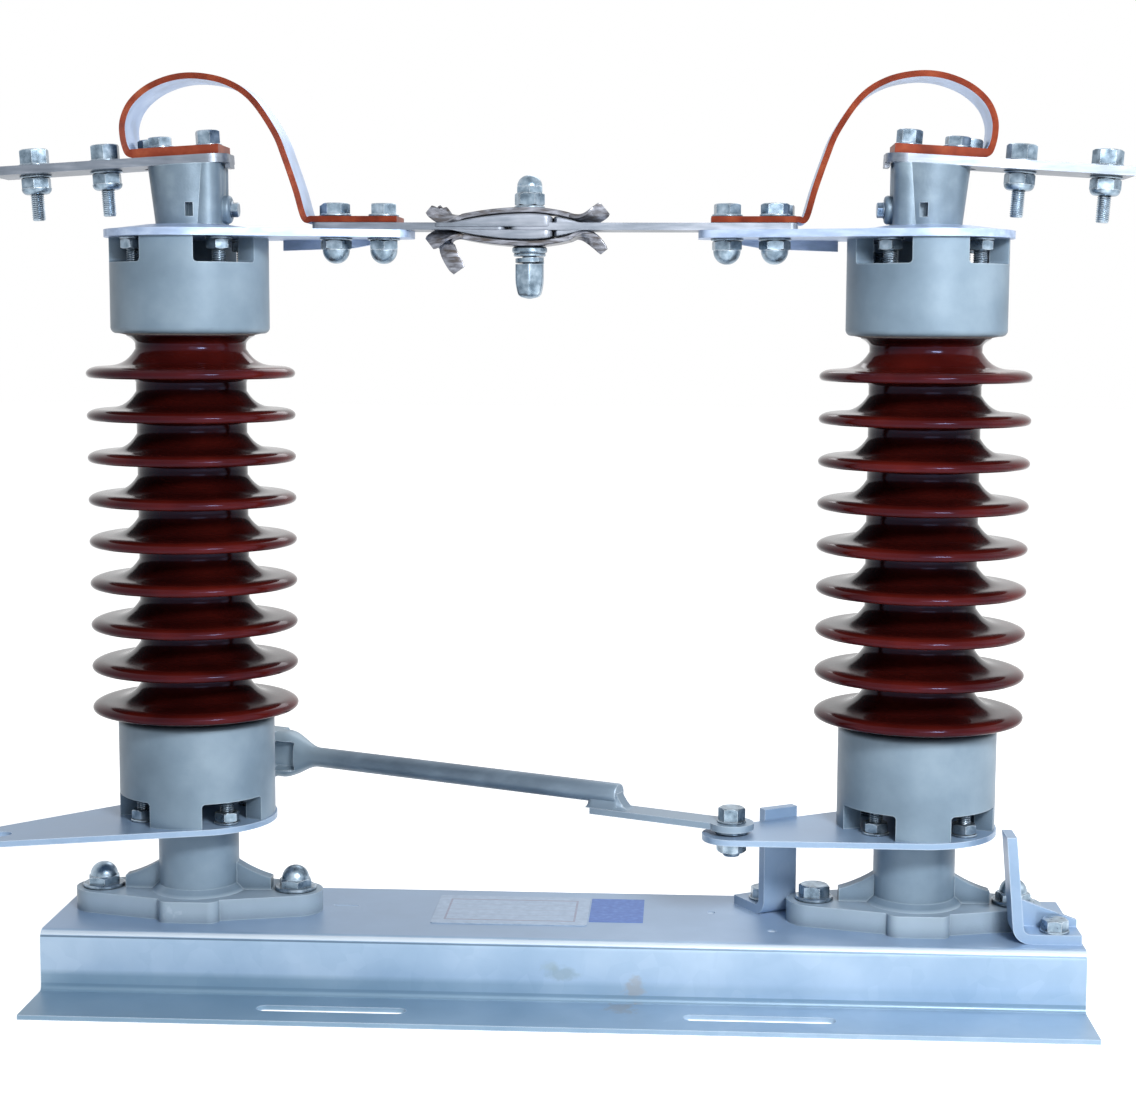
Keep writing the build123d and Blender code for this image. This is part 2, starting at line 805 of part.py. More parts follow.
# ---- terminals ----
droop = radians(terminal_droop)
tilt = Plane((0, 0, terminal_axis_top), x_dir=(cos(droop), 0, -sin(droop)), z_dir=(sin(droop), 0, cos(droop)))
under = tilt.offset(-terminal_thick)
post_foot = crown_top + swivel_gap
lug_z = post_foot + clamp_lug_radius
with BuildPart() as post:
    with BuildSketch(Plane.XY.offset(post_foot)):
        with Locations((-post_shift, 0)):
            Circle(post_bottom_radius)
    with BuildSketch(Plane.XY.offset(terminal_axis_top + terminal_thick)):
        with Locations((post_shift, 0)):
            Circle(post_top_radius)
    loft()
    with BuildSketch(Plane.XY.offset(post_foot)):
        with Locations((post_boss_x, -post_boss_radius), (post_boss_x, post_boss_radius)):
            Circle(post_boss_radius)
    extrude(amount=post_height)
    with BuildSketch(Plane.YZ.offset(-clamp_lug_reach)):
        with Locations((0, lug_z + 1)):
            Circle(clamp_lug_radius)
    extrude(amount=clamp_lug_reach - stud_radius)
    fillet(post.edges().filter_by(GeomType.CIRCLE).sort_by(Axis.X)[0], clamp_lug_round)
    with BuildSketch(Plane.XY.offset(post_foot)):
        Circle(stud_radius + swivel_gap)
    extrude(amount=stud_height + 1, mode=Mode.SUBTRACT)
    with BuildSketch(Plane.XZ.offset(stud_radius + 6)):
        with Locations((-7, lug_z)):
            Rectangle(*post_slit)
    extrude(amount=post_bottom_radius, mode=Mode.SUBTRACT)
    split(bisect_by=under, keep=Keep.BOTTOM)

with BuildPart() as terminal_plate:
    with BuildSketch(tilt):
        with Locations(((terminal_reach - terminal_back) / 2, 0)):
            Rectangle(terminal_reach + terminal_back, terminal_width)
        with Locations(*strap_bolt_places):
            Circle(bolt_shank, mode=Mode.SUBTRACT)
    extrude(amount=-terminal_thick)
    back_corners = terminal_plate.edges().filter_by(Axis.Z, tolerance=10).group_by(Axis.X)[0]
    fillet(back_corners, terminal_corner)
    with BuildSketch(under):
        with Locations((-terminal_back + terminal_lip / 2, 0)):
            Rectangle(terminal_lip, terminal_width / 3)
    extrude(amount=-terminal_lip)


def bolts_on_tilt(bolt, places, lift=0.0):
    with BuildPart() as bolts:
        with Locations(*[tilt.offset(lift).location * Location((x, y, 0)) for x, y in places]):
            add(bolt)
    return bolts.part


def drilled(side):
    with BuildPart() as plate:
        add(terminal_plate.part)
        with BuildSketch(tilt):
            with Locations(*[(along, 0) for along in terminal_bolts[side]]):
                Circle(clearance_hole)
        extrude(amount=-terminal_thick, mode=Mode.SUBTRACT)
    return plate.part


loose_bolt = hex_bolt(
    terminal_bolt_across,
    terminal_bolt_head,
    bolt_shank,
    terminal_bolt_length,
    washer=terminal_bolt_washer,
    grip=terminal_thick,
)
strap_bolt = hex_bolt(
    strap_bolt_across, strap_bolt_head, strap_bolt_shank, palm_thick + terminal_thick + strap_bolt_grip
)
strap_bolt_set = bolts_on_tilt(strap_bolt, strap_bolt_places, palm_thick + palm_lift)

# The strap's loop, as shares of its width and of its height over the arm plate.
loop_shares = (
    (0, 0.259),
    (0.059, 0.46),
    (0.122, 0.636),
    (0.25, 0.85),
    (0.39, 0.957),
    (0.554, 1),
    (0.704, 0.99),
    (0.848, 0.928),
    (0.951, 0.829),
    (1, 0.714),
    (1, 0.587),
)
with BuildPart() as strap:
    foot_level = bar_top + strap_thick / 2
    palm = tilt.offset(palm_thick / 2 + palm_lift)
    palm_out = palm.from_local_coords((palm_start, 0))
    palm_in = palm.from_local_coords((palm_end, 0))
    inward = palm_in - palm_out
    with BuildSketch(Plane.XZ):
        with BuildLine():
            arm_foot = Line((-strap_start, foot_level), (-bar_start, foot_level))
            Spline(
                arm_foot @ 1,
                *[(loop_start + x * loop_width, arm_top + z * loop_height) for x, z in loop_shares],
                (palm_out.X, palm_out.Z),
                tangents=((1, 0.25), (inward.X, inward.Z)),
            )
            Line((palm_out.X, palm_out.Z), (palm_in.X, palm_in.Z))
        trace(line_width=strap_thick)
    extrude(amount=strap_width / 2, both=True)
    with BuildSketch(tilt.offset(palm_lift)):
        with Locations(((palm_start + palm_end) / 2, 0)):
            Rectangle(palm_start - palm_end, strap_width)
    extrude(amount=palm_thick)
    with Locations(*[(x, y, foot_level) for x, y in (*through_bolts, short_bolt)]):
        Cylinder(clearance_hole, 2 * strap_thick, mode=Mode.SUBTRACT)
    with BuildSketch(tilt):
        with Locations(*strap_bolt_places):
            Circle(bolt_shank)
    extrude(amount=2 * palm_thick, mode=Mode.SUBTRACT)

with BuildPart() as drilled_post:
    add(post.part)
    with BuildSketch(under):
        with Locations(*strap_bolt_places):
            Circle(strap_bolt_shank + swivel_gap)
    extrude(amount=-strap_bolt_grip - 2, mode=Mode.SUBTRACT)

for side, word in ((-1, "left"), (1, "right")):
    loose_bolts = bolts_on_tilt(loose_bolt, [(along, 0) for along in terminal_bolts[word]])
    keep(f"{word}_copper_strap", at_column(strap.part, side))
    keep(f"{word}_strap_bolts", at_column(strap_bolt_set, side))
    keep(f"{word}_terminal_post", at_column(drilled_post.part, side))
    keep(f"{word}_terminal_plate", at_column(drilled(word), side))
    keep(f"{word}_terminal_bolts", at_column(loose_bolts, side))

# ---- link ----
fork_origin = (-column_x + ear_pin_x, ear_pin_y, rod_z)
pivot_place = (column_x + link_pin[0], link_pin[1])
rod_plane = Plane(fork_origin).rotated((0, 0, -rod_slope))
rod_end = rod_run - rod_overlap


def across_rod(along):
    """The plane square to the rod at a distance along it, with X across."""
    return Plane(fork_origin + rod_plane.x_dir * along, x_dir=rod_plane.y_dir, z_dir=rod_plane.x_dir)


with BuildPart() as rod:
    with BuildSketch(across_rod(fork_depth + 2)):
        Circle(rod_radius)
    extrude(amount=rod_end - fork_depth - 2)
    with BuildSketch(rod_plane.offset(-fork_height / 2)):
        Circle(fork_radius)
        with Locations((fork_depth / 2, 0)):
            Rectangle(fork_depth, 2 * fork_radius)
    extrude(amount=fork_height)
    with BuildSketch(across_rod(fork_depth)):
        Rectangle(2 * fork_radius, fork_height)
    with BuildSketch(across_rod(fork_depth + fork_taper)):
        Circle(rod_radius)
    loft()
    with BuildSketch(rod_plane.offset(-fork_gap / 2)):
        with Locations(((fork_depth - fork_web) / 2 - fork_radius, 0)):
            Rectangle(fork_depth - fork_web + 2 * fork_radius, 4 * fork_radius)
    extrude(amount=fork_gap, mode=Mode.SUBTRACT)
    with BuildSketch(rod_plane.offset(-fork_height / 2)):
        Circle(pin_radius)
    extrude(amount=fork_height, mode=Mode.SUBTRACT)
keep("link_rod", rod.part)

with BuildPart() as tongue:
    with BuildSketch(Plane((*pivot_place, tongue_bottom)).rotated((0, 0, 180 - rod_slope))):
        Circle(tongue_width * 0.75)
        with Locations((tongue_length / 2, 0)):
            Rectangle(tongue_length, tongue_width)
        Circle(pin_radius, mode=Mode.SUBTRACT)
    extrude(amount=tongue_thick)
    with BuildSketch(Plane((*pivot_place, tongue_top)).rotated((0, 0, 180 - rod_slope))):
        with Locations((tongue_length - saddle_length / 2, 0)):
            Rectangle(saddle_length, 2 * rod_radius)
    extrude(amount=rod_z - rod_radius - tongue_top)
keep("link_tongue", tongue.part)

pivot_grip = tongue_top - lever_bottom + lap_gap
with BuildPart() as pivot:
    pivot_shank = pin_radius - 0.1
    pivot_length = pivot_grip + pivot_bolt_tail
    add(hex_bolt(pivot_bolt_across, pivot_bolt_head, pivot_shank, pivot_length, grip=pivot_grip))
    with BuildSketch(Plane.XY.offset(-tongue_thick - lap_gap)):
        Circle(spacer_radius)
    extrude(amount=-spacer_thick)
keep("link_pivot_bolt", Location((*pivot_place, tongue_top)) * pivot.part)
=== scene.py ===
import json
import math

import bpy
import mathutils
import numpy as np
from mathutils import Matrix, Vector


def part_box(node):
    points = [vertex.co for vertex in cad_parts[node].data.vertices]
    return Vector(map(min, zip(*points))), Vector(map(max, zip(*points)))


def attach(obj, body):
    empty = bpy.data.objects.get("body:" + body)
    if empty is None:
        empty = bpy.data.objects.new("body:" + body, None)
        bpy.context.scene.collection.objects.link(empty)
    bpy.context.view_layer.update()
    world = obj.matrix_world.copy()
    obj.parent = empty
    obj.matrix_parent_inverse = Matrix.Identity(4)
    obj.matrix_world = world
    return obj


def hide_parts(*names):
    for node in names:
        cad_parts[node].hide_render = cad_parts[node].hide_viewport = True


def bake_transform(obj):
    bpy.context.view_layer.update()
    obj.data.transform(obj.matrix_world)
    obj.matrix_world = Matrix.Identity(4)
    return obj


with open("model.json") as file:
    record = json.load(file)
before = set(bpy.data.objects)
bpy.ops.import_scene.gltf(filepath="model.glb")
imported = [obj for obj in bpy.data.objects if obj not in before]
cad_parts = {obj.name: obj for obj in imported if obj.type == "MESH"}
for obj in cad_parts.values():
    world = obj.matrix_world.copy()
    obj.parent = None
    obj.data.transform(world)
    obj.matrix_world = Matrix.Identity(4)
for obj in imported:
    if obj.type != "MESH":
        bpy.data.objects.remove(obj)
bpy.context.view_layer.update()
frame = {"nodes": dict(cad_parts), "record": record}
mm = 0.001
columnX = 300.0  # each column's axis, either side of the origin
rodSlope = 24.8  # degrees in plan between the link's rod and X
plateMiddle = (-35.0, 8.5)  # the bare plate's middle on the channel's top
sides = ((-1, "left"), (1, "right"))
print("frame loaded,", len(frame["nodes"]), "nodes")


# Small helpers for shapes. A grid is rows x columns x 3, in millimetres.


def gridQuads(rows, columns, wrapRows, wrapColumns, first):
    # Each cell between four neighbouring grid points is one quad.
    index = np.arange(rows * columns).reshape(rows, columns) + first
    if wrapRows:
        index = np.vstack([index, index[:1]])
    if wrapColumns:
        index = np.hstack([index, index[:, :1]])
    corners = [index[:-1, :-1], index[1:, :-1], index[1:, 1:], index[:-1, 1:]]
    return np.stack(corners, axis=-1).reshape(-1, 4)


def signedVolume(points, quads):
    # A sixth of the triple products of all triangles, negative if the faces point inwards.
    a, b, c, d = (points[quads[:, k]] for k in range(4))
    return (np.cross(b - a, c - a) * a).sum() + (np.cross(c - a, d - a) * a).sum()


def closedGrid(points, wrapRows=False):
    # A tube of rings, its columns joined round; its ends are flat faces unless its rows join too.
    return {"points": points, "wrapRows": wrapRows}


def addObject(name, data):
    # A new object in the scene that holds the mesh, lamp or camera
    thing = bpy.data.objects.new(name, data)
    bpy.context.scene.collection.objects.link(thing)
    return thing


def makePiece(name, grids, material, body, crease=35, edgeMaterial=None, edgeColumns=None):
    # One mesh of all the grids, faces turned outwards, shaded smooth up to the crease angle. Faces
    # of the edge columns and the ends take the edge material.
    vertices, faces, materialIndex, first = [], [], [], 0
    for grid in grids:
        points = grid["points"]
        rows, columns = points.shape[:2]
        flat = points.reshape(-1, 3)
        quads = gridQuads(rows, columns, grid["wrapRows"], True, first)
        ends = []
        if not grid["wrapRows"]:
            ends = [np.arange(columns)[::-1] + first, np.arange(columns) + first + (rows - 1) * columns]
        if signedVolume(flat - flat.mean(axis=0), quads - first) < 0:
            quads = quads[:, ::-1]
            ends = [end[::-1] for end in ends]
        vertices.append(flat)
        faces += quads.tolist() + [end.tolist() for end in ends]
        if edgeColumns is not None:
            onEdge = np.isin(np.arange(columns), edgeColumns).astype(int)
            spans = rows if grid["wrapRows"] else rows - 1
            materialIndex += np.tile(onEdge, spans).tolist() + [1] * len(ends)
        first += len(flat)
    mesh = bpy.data.meshes.new(name)
    mesh.from_pydata((np.vstack(vertices) * mm).tolist(), [], faces)
    mesh.materials.append(material)
    if edgeMaterial:
        mesh.materials.append(edgeMaterial)
        mesh.polygons.foreach_set("material_index", materialIndex)
    mesh.shade_smooth()
    mesh.set_sharp_from_angle(angle=math.radians(crease))
    piece = addObject(name, mesh)
    if body:
        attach(piece, body)
    return piece


def revolve(profile, segments=96, wrapRows=False):
    # Each profile point (radius, height) is carried once round Z.
    profile = np.asarray(profile, float)
    angle = np.linspace(0, 2 * np.pi, segments, endpoint=False)
    radius, height = profile[:, :1], profile[:, 1:]
    points = np.stack([radius * np.cos(angle), radius * np.sin(angle), height + 0 * angle], axis=-1)
    return closedGrid(points, wrapRows)


def hexPrism(flats, bottom, top, chamferBottom=True, chamferTop=True, turn=0.0):
    # At each angle the radius is the hexagon's, apothem over the cosine of the angle from the
    # flat's middle, cut off by a 30 degree cone near a chamfered end.
    apothem = flats / 2
    angle = np.linspace(0, 2 * np.pi, 72, endpoint=False)
    flat = (angle + np.pi / 6) % (np.pi / 3) - np.pi / 6
    outline = apothem / np.cos(flat)
    depth = np.array([0, 0.25, 0.5, 0.75, 1.0]) * apothem * 0.11
    height = np.concatenate([bottom + depth, top - depth[::-1]])[:, None]
    limit = np.full(height.shape, np.inf)
    if chamferTop:
        limit = np.minimum(limit, apothem * 0.97 + (top - height) * math.sqrt(3))
    if chamferBottom:
        limit = np.minimum(limit, apothem * 0.97 + (height - bottom) * math.sqrt(3))
    radius = np.minimum(outline, limit)
    place = angle + math.radians(turn)
    points = np.stack([radius * np.cos(place), radius * np.sin(place), height + 0 * angle], axis=-1)
    return closedGrid(points)


def washer(inner, outer, bottom, top):
    # A flat ring whose outer rim is rounded by a small bevel.
    bevel = (top - bottom) * 0.25
    ring = [(inner, bottom), (outer - bevel, bottom), (outer, bottom + bevel), (outer, top - bevel),
            (outer - bevel, top), (inner, top)]
    return revolve(ring, 60, wrapRows=True)


def thread(radius, pitch, bottom, top, segments=32):
    # The radius falls and rises once a pitch, shifted by the angle so that the ridge climbs.
    height = np.arange(bottom, top + 1e-6, pitch / 5)[:, None]
    angle = np.linspace(0, 2 * np.pi, segments, endpoint=False)
    phase = (height / pitch - angle / (2 * np.pi)) % 1.0
    ridge = radius - pitch * 0.55 * np.abs(2 * phase - 1)
    taper = np.clip((height - bottom) / pitch, 0, 1)
    ridge = np.minimum(ridge, radius - pitch * 0.7 * (1 - taper))
    points = np.stack([ridge * np.cos(angle), ridge * np.sin(angle), height + 0 * angle], axis=-1)
    return closedGrid(points)


def roundBar(radius, bottom, top):
    # A plain round bar; its ends close on a 0.01 mm ring.
    return revolve([(0.01, bottom), (radius, bottom), (radius, top), (0.01, top)], 40)


def domedEnd(radius, bottom, height, top=0.4):
    # A quarter ellipse from the rim up to a small flat at the crown.
    t = np.linspace(0, np.pi / 2, 14)
    profile = np.stack([top + (radius - top) * np.cos(t), bottom + height * np.sin(t)], axis=-1)
    return revolve(np.vstack([[(radius, bottom - 0.5)], profile]), 60)


def moved(grid, offset):
    # The offset is added to every point.
    return {**grid, "points": grid["points"] + np.array(offset, float)}


def tilted(grid, angle, offset=(0, 0, 0)):
    # Turned about Y, so that +X drops, then moved.
    c, s = math.cos(math.radians(angle)), math.sin(math.radians(angle))
    rotation = np.array([[c, 0, s], [0, 1, 0], [-s, 0, c]])
    return {**grid, "points": grid["points"] @ rotation.T + np.array(offset, float)}


def flipped(grid):
    # Turned over, about X.
    return {**grid, "points": grid["points"] * np.array([1, -1, -1])}


def mirrored(grid, side):
    # The left column's pieces are the right one's seen in a mirror.
    return {**grid, "points": grid["points"] * np.array([side, 1, 1])}


def squared(t, power):
    # A superellipse: the cosine and sine, each raised to the power with its sign kept.
    return [np.sign(wave) * np.abs(wave) ** power for wave in (np.cos(t), np.sin(t))]


def placed(grids, offset):
    # Each grid moved by the same offset
    return [moved(grid, offset) for grid in grids]


def onColumn(grids, side):
    # From the origin to the column on that side
    return placed(grids, (side * columnX, 0, 0))


# Materials


def linearColor(hexText):
    # sRGB hex to the linear values that the sockets hold
    srgb = np.array([int(hexText[k:k + 2], 16) for k in (1, 3, 5)]) / 255
    linear = np.where(srgb <= 0.04045, srgb / 12.92, ((srgb + 0.055) / 1.055) ** 2.4)
    return (*linear.tolist(), 1.0)


def addNode(tree, kind, settings=None, links=None):
    # A setting is a socket by its name or number, a colour ramp's stops or one of the node's own.
    # A link comes from a socket, or from a node's first output.
    node = tree.nodes.new("ShaderNode" + kind)
    for key, value in (settings or {}).items():
        if key == "stops":
            while len(node.color_ramp.elements) < len(value):
                node.color_ramp.elements.new(0.5)
            for element, (position, colour) in zip(node.color_ramp.elements, value):
                element.position = position
                element.color = linearColor(colour)
        elif isinstance(key, int) or key in node.inputs:
            node.inputs[key].default_value = value
        else:
            setattr(node, key, value)
    for key, source in (links or {}).items():
        tree.links.new(getattr(source, "outputs", [source])[0], node.inputs[key])
    return node


def startMaterial(name):
    # A new material with its shader joined up, and the piece's own coordinates in metres.
    material = bpy.data.materials.new(name)
    material.use_nodes = True
    tree = material.node_tree
    tree.nodes.clear()
    shader = addNode(tree, "BsdfPrincipled")
    addNode(tree, "OutputMaterial", {}, {"Surface": shader})
    place = addNode(tree, "TexCoord").outputs["Object"]
    return material, tree, shader, place


def smudge(tree, place, centre, reach, ragged=0.35):
    # A worn or dirty patch: one inside an ellipsoid of the given reach, falling to zero at its
    # rim, where a 6 mm noise makes the outline ragged.
    shift = addNode(tree, "VectorMath", {"operation": "SUBTRACT", 1: [v * mm for v in centre]}, {0: place})
    scale = [1 / (v * mm) for v in reach]
    squeeze = addNode(tree, "VectorMath", {"operation": "MULTIPLY", 1: scale}, {0: shift})
    distance = addNode(tree, "VectorMath", {"operation": "LENGTH"}, {0: squeeze})
    edge = addNode(tree, "TexNoise", {"Scale": 1 / (6 * mm), "Detail": 4.0}, {"Vector": place})
    torn = addNode(tree, "Math", {"operation": "MULTIPLY_ADD", 1: 4 * ragged, 2: -2 * ragged}, {0: edge})
    total = addNode(tree, "Math", {"operation": "ADD"}, {0: distance.outputs[1], 1: torn})
    return addNode(tree, "MapRange", {"From Min": 1.0, "From Max": 0.45}, {"Value": total})


def overlay(tree, colour, layers):
    # Each layer in turn: its mask times its amount of its tint over what lies below.
    for mask, tint, amount in layers:
        share = addNode(tree, "Math", {"operation": "MULTIPLY", 1: amount}, {0: mask})
        mix = addNode(tree, "Mix", {"data_type": "RGBA", 7: linearColor(tint)}, {0: share, 6: colour})
        colour = mix.outputs[2]
    return colour


def edgeWearAndHighlight(tree, radius):
    # Where a rounded normal leaves the true one, the surface is near an edge: a mask for paler wear there,
    # and for a painted highlight along the edge.
    rounded = addNode(tree, "Bevel", {"samples": 3, "Radius": radius * mm})
    flat = addNode(tree, "NewGeometry").outputs["True Normal"]
    along = addNode(tree, "VectorMath", {"operation": "DOT_PRODUCT"}, {0: rounded, 1: flat})
    return addNode(tree, "MapRange", {"From Min": 0.995, "From Max": 0.90}, {"Value": along.outputs[1]})


def hollowShade(tree, reach):
    # One deep in a hollow, for painted shade where the hollow would be shaded, falling to zero on open
    # faces.
    hollow = addNode(tree, "AmbientOcclusion", {"samples": 4, "Distance": reach * mm})
    return addNode(tree, "MapRange", {"From Min": 0.72, "From Max": 0.30}, {"Value": hollow.outputs["AO"]})


def hotDipSheet():
    # Hot-dip galvanised sheet steel: a cool satin zinc, its 14 mm spangle weathered until it barely
    # shows, paler on worn edges that also carry a painted highlight, with painted shade on top that
    # makes it darker and bluer, painted shade low on the channel that is deepest to the left, faint
    # stains on the front, a painted highlight along the upper bend with a thin line of painted shade
    # under it, and a line of painted shade along the lower fold.
    material, tree, shader, place = startMaterial("hot dip galvanised sheet")
    spangle = addNode(tree, "TexVoronoi", {"Scale": 1 / (14 * mm)}, {"Vector": place})
    cloudy = {"Scale": 1 / (90 * mm), "Detail": 4.0, "Roughness": 0.5}
    clouds = addNode(tree, "TexNoise", cloudy, {"Vector": place})
    crystal = addNode(tree, "RGBToBW", {}, {"Color": spangle.outputs["Color"]})
    shade = addNode(tree, "Mix", {0: 0.9}, {2: crystal, 3: clouds})
    tints = [(0.33, "#91AECB"), (0.52, "#A0BBD6"), (0.70, "#B1C9E1")]
    colour = addNode(tree, "ValToRGB", {"stops": tints}, {"Fac": shade}).outputs["Color"]
    axes = addNode(tree, "SeparateXYZ", {}, {"Vector": place})
    across, height = axes.outputs[0], axes.outputs[2]
    # Painted shade: darker low on the channel, most towards the left, away from the light.
    low = addNode(tree, "MapRange", {"From Min": 22 * mm, "From Max": 17 * mm}, {"Value": height})
    spread = {"From Min": 180 * mm, "From Max": -200 * mm, "To Min": 0.25}
    leftward = addNode(tree, "MapRange", spread, {"Value": across})
    lowLeftShade = addNode(tree, "Math", {"operation": "MULTIPLY"}, {0: low, 1: leftward})
    # The three lines are painted light: painted shade under the upper bend, a painted highlight along the
    # bend and painted shade along the lower fold.
    bands = ((49.2, 0.7), (51.7, 1.4), (7.4, 2.8))  # each line's height and half width
    underBendShade, bend, fold = (
        addNode(tree, "Math", {"operation": "COMPARE", 1: level * mm, 2: half * mm}, {0: height})
        for level, half in bands
    )
    # Painted shade on the top face, darker and bluer.
    above = addNode(tree, "Math", {"operation": "GREATER_THAN", 1: 53.5 * mm}, {0: height})
    colour = overlay(tree, colour, [
        (lowLeftShade, "#64869C", 0.6),
        (underBendShade, "#46617A", 0.8),
        (bend, "#E6F1FB", 0.65),
        (above, "#7188AC", 0.35),
        (smudge(tree, place, (12, -75, 27), (17, 6, 7)), "#8397A0", 0.5),
        (smudge(tree, place, (2, -75, 33), (8, 6, 5)), "#93A6AC", 0.4),
        (smudge(tree, place, (70, -76, 14), (9, 8, 13), 0.6), "#A39A90", 0.45),
        (smudge(tree, place, (60, -90, 3), (14, 14, 4), 0.6), "#958C84", 0.45),
        (edgeWearAndHighlight(tree, 1.3), "#DCEAF6", 0.6),
        (fold, "#6E8CA4", 0.7),
    ])
    tree.links.new(colour, shader.inputs["Base Color"])
    spread = {"From Min": 0.35, "From Max": 0.65, "To Min": 0.33, "To Max": 0.45}
    rough = addNode(tree, "MapRange", spread, {"Value": shade})
    tree.links.new(rough.outputs[0], shader.inputs["Roughness"])
    shader.inputs["Metallic"].default_value = 0.25
    rolling = addNode(tree, "Mapping", {"Scale": (0.15, 1.0, 1.0)}, {"Vector": place})
    grain = addNode(tree, "TexNoise", {"Scale": 1 / (2.2 * mm), "Detail": 3.0}, {"Vector": rolling})
    bump = addNode(tree, "Bump", {"Strength": 0.10, "Distance": 0.3 * mm}, {"Height": grain})
    tree.links.new(bump.outputs[0], shader.inputs["Normal"])
    return material


def galvanisedCasting():
    # Galvanised grey iron casting: 2 mm sand grain softened by a dull zinc coat, with painted light on
    # the bearings' feet, paler rubbed edges that also carry a painted highlight, painted shade in hollows,
    # whitish scuffs on the right foot's front and a painted light patch on the left foot's front.
    material, tree, shader, place = startMaterial("galvanised casting")
    cloudy = {"Scale": 1 / (60 * mm), "Detail": 5.0, "Roughness": 0.5}
    clouds = addNode(tree, "TexNoise", cloudy, {"Vector": place})
    tints = [(0.30, "#6C8091"), (0.50, "#7B90A2"), (0.72, "#8DA1B2")]
    colour = addNode(tree, "ValToRGB", {"stops": tints}, {"Fac": clouds}).outputs["Color"]
    axes = addNode(tree, "SeparateXYZ", {}, {"Vector": place})
    # Painted light: the castings below 72.5 mm, the bearings' feet, are lighter.
    level = {"From Min": 74.5 * mm, "From Max": 72.5 * mm}
    foot = addNode(tree, "MapRange", level, {"Value": axes.outputs[2]})
    colour = overlay(tree, colour, [
        (foot, "#BACCDB", 0.45),
        (hollowShade(tree, 22), "#2F3C48", 0.7),
        (edgeWearAndHighlight(tree, 1.6), "#C8D8E4", 0.45),
        (smudge(tree, place, (243, -64, 62), (22, 14, 12), 0.7), "#DDE6EA", 0.7),
        (smudge(tree, place, (300, -70, 60), (24, 14, 14), 0.7), "#D3DEE4", 0.5),
        # The left foot's pale front patch is painted light.
        (smudge(tree, place, (-318, -64, 62), (24, 16, 14), 0.6), "#CAD9E4", 0.5),
    ])
    tree.links.new(colour, shader.inputs["Base Color"])
    shader.inputs["Metallic"].default_value = 0.1
    shader.inputs["Specular IOR Level"].default_value = 0.22
    shader.inputs["Roughness"].default_value = 0.40
    sand = addNode(tree, "TexNoise", {"Scale": 1 / (2 * mm), "Detail": 3.0}, {"Vector": place})
    lumps = addNode(tree, "TexNoise", {"Scale": 1 / (16 * mm), "Detail": 1.0}, {"Vector": place})
    relief = addNode(tree, "Mix", {0: 0.75}, {2: sand, 3: lumps})
    bump = addNode(tree, "Bump", {"Strength": 0.22, "Distance": 0.6 * mm}, {"Height": relief})
    tree.links.new(bump.outputs[0], shader.inputs["Normal"])
    return material


def zincPlate():
    # Zinc plated steel fasteners: bright blue-white, dull in patches, paler on worn corners that also
    # carry a painted highlight, with painted shade in hollows.
    material, tree, shader, place = startMaterial("zinc plated fasteners")
    patches = addNode(tree, "TexNoise", {"Scale": 1 / (8 * mm), "Detail": 3.0}, {"Vector": place})
    tints = [(0.32, "#607282"), (0.52, "#899DAE"), (0.75, "#B9CBDA")]
    colour = addNode(tree, "ValToRGB", {"stops": tints}, {"Fac": patches}).outputs["Color"]
    colour = overlay(tree, colour, [
        (edgeWearAndHighlight(tree, 0.8), "#E6F0F8", 0.6),
        (hollowShade(tree, 18), "#2A343E", 0.75),
    ])
    tree.links.new(colour, shader.inputs["Base Color"])
    rough = addNode(tree, "MapRange", {"To Min": 0.18, "To Max": 0.42}, {"Value": patches})
    tree.links.new(rough.outputs[0], shader.inputs["Roughness"])
    shader.inputs["Metallic"].default_value = 0.8
    return material


def turnedSteel():
    # Turned steel spindle: fine lathe rings 2 mm apart, as a wave's bands are 0.314 of its scale.
    material, tree, shader, place = startMaterial("turned steel")
    turned = {"bands_direction": "Z", "Scale": 1 / (6.3 * mm), "Distortion": 0.4}
    rings = addNode(tree, "TexWave", turned, {"Vector": place})
    tints = [(0.2, "#8699A8"), (0.8, "#9DAFBD")]
    colour = addNode(tree, "ValToRGB", {"stops": tints}, {"Fac": rings.outputs[1]}).outputs["Color"]
    tree.links.new(colour, shader.inputs["Base Color"])
    shader.inputs["Metallic"].default_value = 0.5
    shader.inputs["Roughness"].default_value = 0.36
    return material


def oxbloodGlaze():
    # Glazed electrical porcelain: deep oxblood brown, glass smooth, near black with painted shade in
    # the hollows between the sheds.
    material, tree, shader, place = startMaterial("oxblood glaze")
    pooling = addNode(tree, "TexNoise", {"Scale": 1 / (50 * mm), "Detail": 2.0}, {"Vector": place})
    tints = [(0.30, "#380C0A"), (0.52, "#48120E"), (0.75, "#5A1913")]
    colour = addNode(tree, "ValToRGB", {"stops": tints}, {"Fac": pooling}).outputs["Color"]
    colour = overlay(tree, colour, [(hollowShade(tree, 40), "#0C0404", 0.92)])
    tree.links.new(colour, shader.inputs["Base Color"])
    shader.inputs["Roughness"].default_value = 0.14
    shader.inputs["Specular IOR Level"].default_value = 0.17
    shader.inputs["Specular Tint"].default_value = linearColor("#A9BCF2")
    ripple = addNode(tree, "TexNoise", {"Scale": 1 / (25 * mm), "Detail": 1.0}, {"Vector": place})
    bump = addNode(tree, "Bump", {"Strength": 0.10, "Distance": 0.6 * mm}, {"Height": ripple})
    tree.links.new(bump.outputs[0], shader.inputs["Normal"])
    return material


